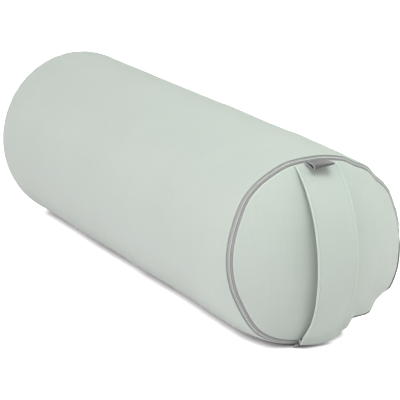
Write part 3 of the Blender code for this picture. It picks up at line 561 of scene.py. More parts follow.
def cloth_edge(t):
    """How far the cover's edges lie from the front seam's middle: beside the chain along the zip, a little
    nearer to it over the top, on both sides of the tapes' tail past its open end, and together where the
    seam is only sewn."""
    half_sewn = math.pi - (ZIP_CLOSED_END - ZIP_OPEN_END) / 2
    middle = ZIP_OPEN_END - half_sewn
    from_middle = np.abs((t - middle + math.pi) % (2 * math.pi) - math.pi)
    closing = np.clip((half_sewn - from_middle) * SEAM_RADIUS / ZIP_MOUTH_TAPER, 0.0, 1.0)
    degrees = (np.degrees(t) + 90.0) % 360.0 - 90.0
    nearer = EDGE_NEARER * smooth_step((degrees - EDGE_NEARER_START) / EDGE_NEARER_START_RAMP)
    nearer = nearer * smooth_step((EDGE_NEARER_END - degrees) / EDGE_NEARER_END_RAMP)
    sewn = SEWN_EDGE + (TAIL_EDGE - SEWN_EDGE) * smooth_step((degrees - TAIL_END) / TAIL_END_RAMP)
    return CLOTH_EDGE - nearer + closing * (sewn - CLOTH_EDGE)


def rolled_profile(across, thick, turned):
    """A cloth wall's profile from its turned edge inwards, as (distance from the edge, depth) pairs: it comes
    out of nearly a half round as thick as the cloth, and stands turned proud beside the edge."""
    arc = np.radians(np.linspace(-80.0, 80.0, 7))
    radius = thick / 2
    roll = np.stack([radius * (1 - np.cos(arc)), radius * (1 - np.sin(arc)) - turned], axis=-1)
    face = np.stack([radius + across, -turned * np.exp(-across / (2 * thick))], axis=-1)
    return roll, face


def tube_cloth(name, place, thick, edges, turned, around, largest, finish):
    """A wall of cloth on the tube, where place(t, along, depth) puts a point. Its profile runs along the
    outer face from the front edge to the rear one, round the turned edge, back along the inner face and
    round the front edge."""
    t = full_turn(around)
    half = TUBE_LENGTH / 2
    across = growing_steps(largest, half - CLOTH_EDGE - thick / 2)
    roll, face = rolled_profile(across, thick, turned)
    share = (face[:, 0] - thick / 2) / (face[-1, 0] - thick / 2)
    faces, rolls = [], []
    for edge in edges:
        faces.append(edge + thick / 2 + share[:, None] * (half - edge - thick / 2))
        rolls.append(edge + roll[:, 0][:, None] + 0.0 * t)
    along = np.concatenate([faces[0], (TUBE_LENGTH - faces[1][::-1])[1:]])
    stations = np.concatenate([along, (TUBE_LENGTH - rolls[1])[::-1], along[::-1], rolls[0]])
    sink = face[:, 1][:, None] + 0.0 * t
    sink = np.concatenate([sink, sink[::-1][1:]])
    rolled = roll[:, 1][:, None] + 0.0 * t
    points = place(t, stations, np.concatenate([sink, rolled[::-1], thick + sink, rolled]))
    uv = paired((t - math.pi) * HALF_WIDTH, stations)
    return grid_piece(name, points, finish, uv=uv, wrap_rows=True)


def panel_cloth(name, skin, deep, thick, edge, turned, around, largest, finish):
    """A domed wall of cloth over one end, deep(radius) under the skin, as a profile from the middle of its
    outer face out to the turned edge and back to the middle of its inner face."""
    t = full_turn(around)
    across = growing_steps(largest, PANEL_RUN)
    roll, face = rolled_profile(across, thick, turned)
    edge_radius = SEAM_RADIUS - edge * RIM_SLOPE
    inner = edge_radius - thick / 2 * RIM_SLOPE
    outer = inner - across[:, None] / across[-1] * (inner - POLE_RADIUS)
    rim = edge_radius - roll[:, 0][:, None] * RIM_SLOPE + 0.0 * t
    sink = face[:, 1][:, None] + 0.0 * t
    radii = np.concatenate([outer[::-1], rim[::-1], outer])
    depths = np.concatenate([sink[::-1], roll[::-1, 1][:, None] + 0.0 * t, thick + sink])
    points = layer(skin, t, radii, deep(radii) + depths)
    top = skin(np.array(0.0), np.array(0.0))
    inwards = np.array([0.0, np.sign(MIDDLE[1] - top[1]), 0.0])
    poles = [top + inwards * (deep(0.0) + step) for step in (0.0, thick)]
    uv = paired(radii * np.cos(t), radii * np.sin(t))
    return grid_piece(name, points, finish, uv=uv, poles=poles)


def rim_points(distance, across, height):
    """Points on the flat of the front rim: distance runs round the seam from t = 0, across from the chain's
    middle towards the panel, height stands off the cover's outer face, and all follow the seam's bulges."""
    t = distance / SEAM_RADIUS
    radius = SEAM_RADIUS - across * RIM_SLOPE + height * RIM_LEVEL + seam_broad(t)
    return round_points(t, radius, FRONT_Y - across * RIM_LEVEL - height * RIM_SLOPE)


def liner_zip_points(distance, across, height):
    """Points on the liner's flat side: distance runs along the bolster from its middle, across is upwards,
    and height stands off as it does on the rim."""
    distance, across, height = np.broadcast_arrays(distance, across, height)
    base = LINER_FLAT_X + COVER_CLOTH - LINER_CLOTH
    return np.stack([base + height, MIDDLE[1] + distance, WIDEST_HEIGHT + across], axis=-1)


def carried_wire(name, path, radius, finish, uv):
    """A round wire along a coil's path: at each of its points a ring of radius, in the plane square to the
    path and turned towards the coil's middle line, which is the mean of the path over one turn."""
    tangent = np.gradient(path, axis=0)
    tangent /= np.linalg.norm(tangent, axis=1, keepdims=True)
    window = np.ones(COIL_STEPS + 1) / (COIL_STEPS + 1)
    mean = path - np.stack([np.convolve(path[:, axis], window, mode="same") for axis in range(3)], axis=1)
    end = COIL_STEPS // 2 + 1
    mean[:end] = mean[end]
    mean[-end:] = mean[-end - 1]
    first = np.cross(tangent, mean)
    first /= np.linalg.norm(first, axis=1, keepdims=True)
    second = np.cross(tangent, first)
    angle = full_turn(WIRE_SIDES)[:, None]
    ring = radius * (first[:, None] * np.cos(angle) + second[:, None] * np.sin(angle))
    uv = np.repeat(uv[:, None], WIRE_SIDES, axis=1)
    return grid_piece(name, path[:, None] + ring, finish, uv=uv, capped=True)


def coil_path(place, start, end, pitch, side, wire):
    """A zip coil as a flattened helix: across = middle + half width cos a, height = middle + half height
    sin a, and distance grows by one pitch a turn. side is -1 on the tube's half and 1 on the panel's, whose
    turns fall between the other's. Where the two halves hook together they stand up in a low ridge, and for
    COIL_PARTED at each end of the chain, where a slider stops, they stand apart to leave room for what parts
    them."""
    turns = int((end - start) / pitch)
    angle = np.arange(turns * COIL_STEPS + 1) * 2 * math.pi / COIL_STEPS
    distance = start + (angle / (2 * math.pi) + 0.25 + 0.25 * side) * pitch
    from_end = np.minimum(distance - start, end - distance)
    parted = 1 - smooth_step((from_end - COIL_PARTED) / COIL_CLOSING)
    reach_in, reach_out = wire - COIL_HOOK + parted * (COIL_INNER + COIL_HOOK), COIL_OUTER - wire
    half, middle = (reach_out - reach_in) / 2, (reach_out + reach_in) / 2
    across = middle + half * np.cos(angle)
    low, high = COIL_BASE + wire, COIL_TOP - wire
    ridge = COIL_RIDGE * (1 - 2 * np.abs(across) / COIL_OUTER)
    height = (low + high) / 2 + (high - low) / 2 * np.sin(angle) + ridge
    return place(distance, side * across, height), paired(side * across, distance)


def strap_points(across, share, height):
    """The strap's points, height above its inner face. share runs from -1 at its foot to 1 at its top. Its
    lift off the panel is STRAP_LIFT (1 - |share|^power). It narrows towards its middle, and low down it
    leans."""
    root = SEAM_RADIUS - (CLOTH_EDGE + STRAP_ROOT_GAP) * RIM_SLOPE
    up = share * np.sqrt(root**2 - across**2)
    power = np.where(share > 0, STRAP_TOP_POWER, STRAP_FOOT_POWER)
    lean = 1 - across / STRAP_HALF_WIDTH * np.maximum(-share, 0.0) ** STRAP_LEAN_POWER
    lift = STRAP_LIFT * (1 - np.abs(share) ** power) * lean
    beside = across * (1 - STRAP_WAIST * (1 - np.abs(share) ** STRAP_WAIST_POWER))
    x = beside * math.cos(STRAP_TURN) - up * math.sin(STRAP_TURN)
    z = beside * math.sin(STRAP_TURN) + up * math.cos(STRAP_TURN)
    return layer(plain_front_face, x, z, -(GAP + lift + height))


def strap_foot(across, height):
    """The strap's points at its foot, in columns for pairs of across and height: a short ply stands square
    off the rim, turns round a bend of radius STRAP_FOOT_BEND and joins the front along a cubic curve."""

    def root(depth):
        """The radius and y at which a ply's face at that depth leaves the rim."""
        root_across = CLOTH_EDGE + STRAP_ROOT_GAP + STRAP_THICK - depth
        radius = SEAM_RADIUS - root_across * RIM_SLOPE + GAP * RIM_LEVEL
        return radius, FRONT_Y - root_across * RIM_LEVEL - GAP * RIM_SLOPE

    middle_x = across * math.cos(STRAP_TURN) + root(0.0)[0] * math.sin(STRAP_TURN)
    low = strap_points(across, STRAP_FOOT_JOIN, height)
    lower = strap_points(across, STRAP_FOOT_JOIN - STRAP_SLOPE_STEP, height)
    ply, inwards = np.array([-RIM_SLOPE, -RIM_LEVEL]), np.array([-RIM_LEVEL, RIM_SLOPE])
    inner_root, own_root = (
        np.stack([ahead + 0.0 * across, SEAM_CENTRE - np.sqrt(radius**2 - middle_x**2)], axis=-1)
        for radius, ahead in (root(0.0 * height), root(height))
    )
    pivot = inner_root + ply * STRAP_FOOT_PLY + inwards * STRAP_FOOT_BEND
    rise = low[:, 1:] - pivot
    turn = np.arctan2(rise[:, 1], -rise[:, 0]) + math.pi / 2 - RIM_ANGLE
    rows = [own_root]
    for share in np.linspace(0.0, 1.0, STRAP_BEND_STEPS + 1):
        angle = (turn * share)[:, None]
        spoke = ply * np.sin(angle) - inwards * np.cos(angle)
        rows.append(pivot + spoke * (STRAP_FOOT_BEND + height)[:, None])
    heading = inwards * np.sin(turn)[:, None] + ply * np.cos(turn)[:, None]
    arriving = low[:, 1:] - lower[:, 1:]
    arriving /= np.linalg.norm(arriving, axis=-1, keepdims=True)
    bend_end = rows[-1]
    handle = STRAP_FOOT_HANDLE * np.linalg.norm(low[:, 1:] - bend_end, axis=-1, keepdims=True)
    for share in np.linspace(0.0, 1.0, STRAP_RISE_STEPS + 1)[1:-1]:
        leaving = (1 - share) ** 3 * bend_end + 3 * (1 - share) ** 2 * share * (bend_end + handle * heading)
        joining = 3 * (1 - share) * share**2 * (low[:, 1:] - handle * arriving) + share**3 * low[:, 1:]
        rows.append(leaving + joining)
    drift = np.linspace(0.0, 1.0, len(rows) + 1)[:-1]
    x = middle_x[:, None] + drift * (low[:, 0] - middle_x)[:, None]
    return np.concatenate([x[..., None], np.stack(rows, axis=1)], axis=-1)


def strap_section(groove_inset):
    """The strap's section as (across, height) pairs going round it: folded edges as half rounds, on both
    faces a stitched groove beside each edge, as deep as exp(-(distance / GROOVE_WIDTH)^2), and the cloth
    between the grooves a little lower than the edges."""
    radius = STRAP_THICK / 2
    flat = np.linspace(-STRAP_HALF_WIDTH + radius, STRAP_HALF_WIDTH - radius, STRAP_COLUMNS)
    from_groove = (STRAP_HALF_WIDTH - groove_inset - np.abs(flat)) / GROOVE_WIDTH
    sunk = GROOVE_DEPTH * np.exp(-(from_groove**2)) + STRAP_MIDDLE_SUNK * smooth_step(from_groove / 5)
    arc = np.radians(np.linspace(-90.0, 90.0, STRAP_EDGE_STEPS + 2)[1:-1])
    right = paired(STRAP_HALF_WIDTH - radius + radius * np.cos(arc), radius + radius * np.sin(arc))
    left = paired(-right[::-1, 0], right[::-1, 1])
    low = paired(flat, sunk)
    high = paired(flat[::-1], (STRAP_THICK - sunk)[::-1])
    return np.concatenate([low, right, high, left])


class BolsterCoverSettings(bpy.types.PropertyGroup):
    """The cotton cover and its strap."""

    colour: FloatVectorProperty(
        name="Cotton", description="Colour of the cover's cotton", subtype="COLOR", size=3, min=0.0, max=1.0,
        default=(0.606, 0.684, 0.618),
    )
    thickness: FloatProperty(
        name="Cloth", description="Thickness of the cover's cloth", unit="LENGTH", precision=4,
        default=COVER_CLOTH, min=0.0005, max=0.003,
    )
    thread: FloatProperty(
        name="Thread", description="Spacing of the weave's threads", unit="LENGTH", precision=5,
        default=0.00055, min=0.0002, max=0.002,
    )
    around: IntProperty(
        name="Divisions", description="Divisions round the tube and the panels", default=300, min=48, max=720
    )
    turned: FloatProperty(
        name="Turned edge", description="How far the cloth stands proud beside its turned edges",
        unit="LENGTH", precision=5, default=0.00015, min=0.0, max=0.001,
    )
    groove_inset: FloatProperty(
        name="Strap stitching", description="Distance of the strap's stitching from its edges", unit="LENGTH",
        precision=4, default=0.0025, min=0.001, max=0.01,
    )
    stitch: FloatProperty(
        name="Stitch", description="Length of one stitch with its gap", unit="LENGTH", precision=4,
        default=0.0030, min=0.001, max=0.006,
    )


class BolsterZipSettings(bpy.types.PropertyGroup):
    """The cover's zip and the liner's."""

    coil_colour: FloatVectorProperty(
        name="Coil", description="Colour of the nylon coils", subtype="COLOR", size=3, min=0.0, max=1.0,
        default=(0.62, 0.63, 0.62),
    )
    tape_colour: FloatVectorProperty(
        name="Tape", description="Colour of the woven tapes", subtype="COLOR", size=3, min=0.0, max=1.0,
        default=(0.60, 0.61, 0.60),
    )
    metal_colour: FloatVectorProperty(
        name="Metal", description="Colour of the sliders and pulls", subtype="COLOR", size=3, min=0.0,
        max=1.0, default=(0.55, 0.56, 0.57),
    )
    pitch: FloatProperty(
        name="Pitch", description="Length of one turn of a coil", unit="LENGTH", precision=5, default=0.00127,
        min=0.0008, max=0.003,
    )
    wire: FloatProperty(
        name="Wire", description="Radius of the coil's wire", unit="LENGTH", precision=5, default=0.00031,
        min=0.0001, max=0.0006,
    )
    tail_height: FloatProperty(
        name="Tape tail", description="How far the tapes' tail stands out of the seam past the open end",
        unit="LENGTH", precision=5, default=0.0016, min=0.0003, max=0.002,
    )


class BolsterLabelSettings(bpy.types.PropertyGroup):
    """The folded ribbon in the seam, left bare."""

    colour: FloatVectorProperty(
        name="Ribbon", description="Colour of the ribbon's face", subtype="COLOR", size=3, min=0.0, max=1.0,
        default=(0.105, 0.108, 0.105),
    )
    edge_colour: FloatVectorProperty(
        name="Edge", description="Colour of the ribbon's woven edges", subtype="COLOR", size=3, min=0.0,
        max=1.0, default=(0.42, 0.42, 0.45),
    )
    reach: FloatProperty(
        name="Reach", description="How far the fold lies from the seam", unit="LENGTH", precision=4,
        default=0.0195, min=0.005, max=0.03,
    )
    skew: FloatProperty(
        name="Skew", description="How much less far its left edge reaches than its middle", unit="LENGTH",
        precision=4, default=0.0030, min=0.0, max=0.01,
    )
    droop: FloatProperty(
        name="Droop", description="How far it hangs below level", unit="ROTATION", default=math.radians(9.0)
    )
    twist: FloatProperty(
        name="Twist", description="How much more its left edge droops than its middle", unit="ROTATION",
        default=math.radians(9.0),
    )
    splay: FloatProperty(
        name="Splay", description="How far its lower ply starts to the left of the upper one", unit="LENGTH",
        precision=4, default=0.0036, min=0.0, max=0.01,
    )
    loop: FloatProperty(
        name="Loop", description="The room between its plies at the middle of the fold", unit="LENGTH",
        precision=4, default=0.0026, min=0.0005, max=0.006,
    )
    flare: FloatProperty(
        name="Flare", description="How much wider the loop is at its left edge, as a share of it",
        default=0.65, min=0.0, max=0.9,
    )


class BolsterInsideSettings(bpy.types.PropertyGroup):
    """The inner cushion."""

    liner_colour: FloatVectorProperty(
        name="Liner", description="Colour of the liner's calico", subtype="COLOR", size=3, min=0.0, max=1.0,
        default=(0.72, 0.66, 0.53),
    )
    husk_colour: FloatVectorProperty(
        name="Husks", description="Colour of the grain husks", subtype="COLOR", size=3, min=0.0, max=1.0,
        default=(0.45, 0.33, 0.20),
    )
    around: IntProperty(
        name="Divisions", description="Divisions round the inner cushion", default=180, min=48, max=360
    )
    husk: FloatProperty(
        name="Husk", description="How deep the hollows between the outermost husks are", unit="LENGTH",
        precision=4, default=0.0004, min=0.0, max=0.001,
    )


class BolsterStageSettings(bpy.types.PropertyGroup):
    """The floor, the lights and the camera."""

    floor_colour: FloatVectorProperty(
        name="Floor", description="Colour of the floor", subtype="COLOR", size=3, min=0.0, max=1.0,
        default=(0.93, 0.885, 0.92),
    )
    glow: FloatProperty(
        name="Floor glow", description="How much brighter the camera sees the floor, away from the bolster",
        default=0.92, min=0.0, max=1.0,
    )
    contact: FloatProperty(
        name="Contact shadow", description="How far the dark of the contact shadow reaches", unit="LENGTH",
        default=0.010, min=0.001, max=0.2,
    )
    sky: FloatProperty(name="Sky", description="Strength of the even light", default=0.45, min=0.0, max=3.0)
    key: FloatProperty(
        name="Key", description="Power of the light above the zipped end, in watts", default=13.3, min=0.0
    )
    left: FloatProperty(
        name="Left", description="Power of the light at the left, in watts", default=21.0, min=0.0
    )
    right: FloatProperty(
        name="Right", description="Power of the light at the right, in watts", default=12.0, min=0.0
    )
    rear: FloatProperty(
        name="Rear", description="Power of the low light behind, in watts", default=12.0, min=0.0
    )


def gained(colour, gain):
    """The colour times gain, each part at most 1."""
    return tuple(min(1.0, part * gain) for part in colour)


def new_material(name, roughness, sheen=0.0, specular=0.25):
    """A material with its list of nodes and its shader."""
    made = bpy.data.materials.new(name)
    made.use_nodes = True
    nodes = made.node_tree.nodes
    shader = nodes["Principled BSDF"]
    shader.inputs["Roughness"].default_value = roughness
    shader.inputs["Specular IOR Level"].default_value = specular
    shader.inputs["Sheen Weight"].default_value = sheen
    shader.inputs["Sheen Roughness"].default_value = 0.6
    return made, nodes, shader


def feed(socket, value):
    """Gives an input a plain value, or links it to an output."""
    if isinstance(value, bpy.types.NodeSocket):
        socket.id_data.links.new(value, socket)
    else:
        socket.default_value = value


def new_node(nodes, kind, inputs, **settings):
    """A node with its settings, and its inputs by name or number as plain values or outputs."""
    node = nodes.new(kind)
    for word, value in settings.items():
        setattr(node, word, value)
    for word, value in inputs.items():
        feed(node.inputs[word], value)
    return node


def math_node(nodes, operation, *values):
    """A Math node's output, from numbers or other outputs."""
    return new_node(nodes, "ShaderNodeMath", dict(enumerate(values)), operation=operation).outputs[0]


def map_range(nodes, value, low, high, start=0.0, end=1.0):
    """A value that runs from low to high as the given one runs from start to end."""
    inputs = {"Value": value, "From Min": start, "From Max": end, "To Min": low, "To Max": high}
    return new_node(nodes, "ShaderNodeMapRange", inputs).outputs[0]


def tinted(nodes, colour, factor, low, high):
    """The colour, times a value that runs from low to high as factor runs from 0 to 1."""
    inputs = {0: colour, "Scale": map_range(nodes, factor, low, high)}
    return new_node(nodes, "ShaderNodeVectorMath", inputs, operation="SCALE").outputs[0]


def noise(nodes, vector, scale, detail, stretch=(1.0, 1.0, 1.0)):
    """A noise texture on a stretched vector."""
    mapping = new_node(nodes, "ShaderNodeMapping", {"Vector": vector, "Scale": stretch})
    inputs = {"Vector": mapping.outputs[0], "Scale": scale, "Detail": detail}
    return new_node(nodes, "ShaderNodeTexNoise", inputs).outputs["Fac"]


def bumped(nodes, shader, height, strength, distance):
    """Links a height to the shader's normal."""
    inputs = {"Height": height, "Strength": strength, "Distance": distance}
    feed(shader.inputs["Normal"], new_node(nodes, "ShaderNodeBump", inputs).outputs[0])


def object_place(nodes):
    """The place on the piece, in metres."""
    return nodes.new("ShaderNodeTexCoord").outputs["Object"]


def cloth_map(nodes):
    """The cloth's own UV map, and its two parts apart."""
    uv = new_node(nodes, "ShaderNodeUVMap", {}, uv_map="cloth").outputs[0]
    split = new_node(nodes, "ShaderNodeSeparateXYZ", {0: uv})
    return uv, split.outputs["X"], split.outputs["Y"]


def woven_material(name, colour, thread, variation=0.05, depth=0.00012, sheen=0.25, roughness=0.9,
                   border=None, round_border=False):
    """Plain woven cloth: bumps where the threads cross, alternately high and low, as sin(pi u / thread) times
    sin(pi v / thread) on the cloth's own UV map, with thicker threads here and there and a faint mottle.
    border gives another colour beyond a distance from a ribbon's middle line, or with round_border from a
    round panel's middle, as (colour, distance)."""
    made, nodes, shader = new_material(name, roughness, sheen)
    uv, u, v = cloth_map(nodes)
    waves = [
        math_node(nodes, "SINE", math_node(nodes, "MULTIPLY", part, math.pi / thread)) for part in (u, v)
    ]
    crossing = math_node(nodes, "MULTIPLY", *waves)
    warp = noise(nodes, uv, 0.22 / thread, 2.0, (1.0, 0.04, 1.0))
    weft = noise(nodes, uv, 0.22 / thread, 2.0, (0.04, 1.0, 1.0))
    slub = math_node(nodes, "ADD", warp, weft)
    mottle = noise(nodes, object_place(nodes), 16.0, 3.0)
    base = tuple(colour)
    if border:
        if round_border:
            aside = new_node(nodes, "ShaderNodeVectorMath", {0: uv}, operation="LENGTH").outputs["Value"]
        else:
            aside = math_node(nodes, "ABSOLUTE", u)
        inputs = {0: math_node(nodes, "GREATER_THAN", aside, border[1]), 4: base, 5: tuple(border[0])}
        base = new_node(nodes, "ShaderNodeMix", inputs, data_type="VECTOR").outputs[1]
    clouded = tinted(nodes, base, mottle, 1.0 - variation * 0.6, 1.0 + variation * 0.6)
    half_slub = math_node(nodes, "MULTIPLY", slub, 0.5)
    threaded = tinted(nodes, clouded, half_slub, 1.0 - variation, 1.0 + variation)
    between = math_node(nodes, "MULTIPLY_ADD", crossing, 0.5, 0.5)
    feed(shader.inputs["Base Color"], tinted(nodes, threaded, between, 0.97, 1.0))
    height = math_node(nodes, "ADD", math_node(nodes, "MULTIPLY", slub, 0.6), crossing)
    bumped(nodes, shader, height, 0.5, depth)
    return made


def speckled_material(name, colour, roughness, metallic=0.0, scale=900.0, variation=0.06):
    """A plain hard finish with fine specks in its colour, roughness and surface."""
    made, nodes, shader = new_material(name, roughness, specular=0.5)
    shader.inputs["Metallic"].default_value = metallic
    specks = noise(nodes, object_place(nodes), scale, 2.0)
    speckled = tinted(nodes, tuple(colour), specks, 1.0 - variation, 1.0 + variation)
    feed(shader.inputs["Base Color"], speckled)
    feed(shader.inputs["Roughness"], map_range(nodes, specks, roughness * 0.85, roughness * 1.15))
    bumped(nodes, shader, specks, 0.4, SPECK_DEPTH)
    return made


def painted_light_coil_material(name, colour):
    """Nylon wire with painted light, by the distance from the chain's middle in its UV map: a painted
    highlight along the middle where its two halves hook together, and painted shade just beside it on the
    panel's side."""
    made, nodes, shader = new_material(name, 0.45, specular=0.5)
    from_middle = math_node(nodes, "MULTIPLY_ADD", cloth_map(nodes)[1], 0.5 / COIL_OUTER, 0.5)
    ramp = new_node(nodes, "ShaderNodeValToRGB", {0: from_middle})
    # A painted highlight in the middle and painted shade beside it on the panel's side, as (place, gain)
    stops = ((0.0, 1.0), (0.40, 0.98), (0.46, 1.42), (0.54, 1.42), (0.60, 0.72), (0.70, 0.76), (0.80, 1.0))
    colours = ramp.color_ramp.elements
    while len(colours) < len(stops):
        colours.new(0.5)
    for element, (place, gain) in zip(colours, stops):
        element.position = place
        element.color = (*gained(colour, gain), 1.0)
    specks = noise(nodes, object_place(nodes), 900.0, 2.0)
    feed(shader.inputs["Base Color"], tinted(nodes, ramp.outputs[0], specks, 0.94, 1.06))
    bumped(nodes, shader, specks, 0.4, SPECK_DEPTH)
    return made


def husk_material(name, colour):
    """Loose husks: cells a few millimetres across, each lighter or darker than the next, with dark edges."""
    made, nodes, shader = new_material(name, 0.85)
    cells = new_node(nodes, "ShaderNodeTexVoronoi", {"Vector": object_place(nodes), "Scale": 300.0})
    shade = new_node(nodes, "ShaderNodeSeparateXYZ", {0: cells.outputs["Color"]})
    husk = tinted(nodes, tuple(colour), shade.outputs["X"], 0.65, 1.35)
    edge = math_node(nodes, "SUBTRACT", 1.0, cells.outputs["Distance"])
    feed(shader.inputs["Base Color"], tinted(nodes, husk, edge, 0.4, 1.0))
    bumped(nodes, shader, edge, 0.8, 0.0008)
    return made


def cloth_on_tube(t, along, depth):
    """Points that lie depth under the cover's outer face on the tube."""
    return layer(tube_skin, t, along, depth)


class OBJECT_OT_bolster_cover(bpy.types.Operator):
    """Makes the cotton tube and its two round end panels"""

    bl_idname = "bolster.cover"
    bl_label = "Cover"

    def execute(self, context):
        settings = context.scene.bolster_cover
        cotton = woven_material("sage cotton canvas", settings.colour, settings.thread)
        around, thick, turned = settings.around, settings.thickness, settings.turned
        edge = cloth_edge(full_turn(around))
        sewn = np.full_like(edge, SEWN_EDGE)
        tube = tube_cloth(
            "cover_tube_cloth", cloth_on_tube, thick, (edge, sewn), turned, around, COVER_TUBE_STEP, cotton
        )
        dress(tube, "bolster", "cover", "cover_tube")
        # The front panel's cloth is drawn paler in a ring beside its turned edge: a painted highlight
        pale = gained(settings.colour, EDGE_HIGHLIGHT_GAIN)
        edge_highlighted = woven_material(
            "sage cotton canvas, painted edge highlight", settings.colour, settings.thread, round_border=True,
            border=(pale, SEAM_RADIUS - (CLOTH_EDGE + EDGE_HIGHLIGHT_WIDTH) * RIM_SLOPE),
        )
        for word, skin, border, finish in (
            ("front", front_skin, edge, edge_highlighted), ("rear", rear_skin, sewn, cotton),
        ):
            panel = panel_cloth(
                f"cover_{word}_cloth", skin, np.zeros_like, thick, border, turned, around, COVER_PANEL_STEP,
                finish,
            )
            dress(panel, "bolster", "cover", f"cover_{word}_panel")
        return {"FINISHED"}


class OBJECT_OT_bolster_zip(bpy.types.Operator):
    """Makes both zips: their coils and tapes, and their rounded sliders, pulls and stops"""

    bl_idname = "bolster.zip"
    bl_label = "Zips"

    def execute(self, context):
        settings = context.scene.bolster_zip
        nylon = speckled_material("zip stop nylon", settings.coil_colour, 0.42)
        coiled = painted_light_coil_material("zip coil nylon, painted ridge light", settings.coil_colour)
        metal = speckled_material("zip zinc", settings.metal_colour, 0.34, metallic=1.0, scale=500.0)
        tape = woven_material(
            "zip tape weave", settings.tape_colour, COARSE_THREAD, variation=0.12, depth=0.0001, sheen=0.1,
            roughness=0.8,
        )
        start, end = ZIP_OPEN_END * SEAM_RADIUS, ZIP_CLOSED_END * SEAM_RADIUS
        half = LINER_ZIP_LENGTH / 2 - GAP
        for place, low, high, words in (
            (rim_points, start, end, ("zip_coil_tube_side", "zip_coil_panel_side")),
            (liner_zip_points, -half, half, ("liner_zip_coil_lower", "liner_zip_coil_upper")),
        ):
            low, high = low + END_STOP_LENGTH + GAP, high - END_STOP_LENGTH - GAP
            for node, side in zip(words, (-1.0, 1.0)):
                path, uv = coil_path(place, low, high, settings.pitch, side, settings.wire)
                coil = carried_wire(f"{node}_wire", path, settings.wire, coiled, uv)
                dress(coil, "bolster", "zip_coil", node)
        for side, node in ((-1.0, "zip_tape_tube_side"), (1.0, "zip_tape_panel_side")):
            dress(self.rim_tape(node, side, tape), "bolster", "zip_tape", node)
        # A darker copy of the tape's weave for the tail: painted shade where it lies in the seam
        shaded = gained(settings.tape_colour, TAIL_PAINTED_SHADE)
        folded = woven_material(
            "zip tape tail, painted shade", shaded, COARSE_THREAD, variation=0.12, depth=0.0001, sheen=0.1
        )
        dress(self.tape_tail(settings.tail_height, folded), "bolster", "zip_tape")
        for side, node in ((-1.0, "liner_zip_tape_lower"), (1.0, "liner_zip_tape_upper")):
            dress(self.liner_tape(node, side, half, tape), "bolster", "zip_tape", node)
        stops = ("zip_top_stop_tube_side", "zip_top_stop_panel_side", "zip_bottom_stop")
        for node in (*stops, "liner_zip_top_stop", "liner_zip_bottom_stop"):
            softened(node, "bolster", "zip_coil", STOP_ROUNDING, nylon)
        for node, body in (
            ("zip_slider", "slider"), ("zip_pull", "pull"),
            ("liner_zip_slider", "liner_slider"), ("liner_zip_pull", "liner_pull"),
        ):
            softened(node, body, "zip_metal", METAL_ROUNDING, metal)
        return {"FINISHED"}

    def tape_tail(self, height, finish):
        """The tapes' tail past the zip's open end, sewn into the seam on edge: a strip whose folded edge
        stands up to that height out between the cloth's edges, and sinks between them where the seam turns
        in."""
        degrees = np.linspace(TAIL_END + 4.0, 0.8, TAIL_STATIONS)
        t = np.radians(degrees)
        stand = height * np.interp(degrees, *zip(*TAIL_STAND))
        apart, share, root = np.array(TAIL_SECTION).T[..., None]
        above = share * stand + root
        near = layer(tube_skin, t, apart, -above)
        far = layer(front_skin, t, SEAM_RADIUS - apart * RIM_SLOPE, -above)
        across = np.concatenate([above, above[::-1]])
        uv = paired(t * SEAM_RADIUS, across)
        return strip_piece("zip_tape_tail", np.concatenate([near, far[::-1]]), finish, uv)

    def rim_tape(self, node, side, finish):
        """One tape of the cover's zip, under the cloth from beside the chain's middle. Past the open end it
        runs on under the mouth, to where the cloth's edges meet."""
        mouth_end = ZIP_OPEN_END - ZIP_MOUTH_TAPER / SEAM_RADIUS
        t = np.linspace(mouth_end, ZIP_CLOSED_END, TAPE_STATIONS)
        on_rim, past_rim = np.linspace(COIL_INNER, RIM_FLAT, 5), np.linspace(TAPE_PAST_RIM, TAPE_WIDTH, 6)
        across = np.concatenate([on_rim, past_rim])
        stations = np.concatenate([across, across[::-1]])[:, None]
        depths = np.repeat([-TAPE_TOP, TAPE_THICK - TAPE_TOP], len(across))[:, None]
        if side < 0:
            points = layer(tube_skin, t, stations, depths)
        else:
            points = layer(front_skin, t, SEAM_RADIUS - stations * RIM_SLOPE, depths)
        return strip_piece(f"{node}_weave", points, finish, paired(t * SEAM_RADIUS, stations))

    def liner_tape(self, node, side, half, finish):
        """One tape of the liner's zip: a thin strip with rounded long edges."""
        edge = TAPE_THICK / 2
        arc = np.radians(np.linspace(-90.0, 90.0, 5))
        middle = (COIL_INNER + LINER_ZIP_TAPE_WIDTH) / 2
        reach = (LINER_ZIP_TAPE_WIDTH - COIL_INNER) / 2 - edge
        right = paired(middle + reach + edge * np.cos(arc), TAPE_TOP - edge + edge * np.sin(arc))
        left = paired(middle - reach - edge * np.cos(arc[::-1]), right[::-1, 1])
        outline = np.concatenate([right, left])
        distance = np.linspace(-half, half, LINER_TAPE_STATIONS)
        points = liner_zip_points(distance, side * outline[:, :1], outline[:, 1:])
        return strip_piece(f"{node}_weave", points, finish, paired(distance, outline[:, :1]))


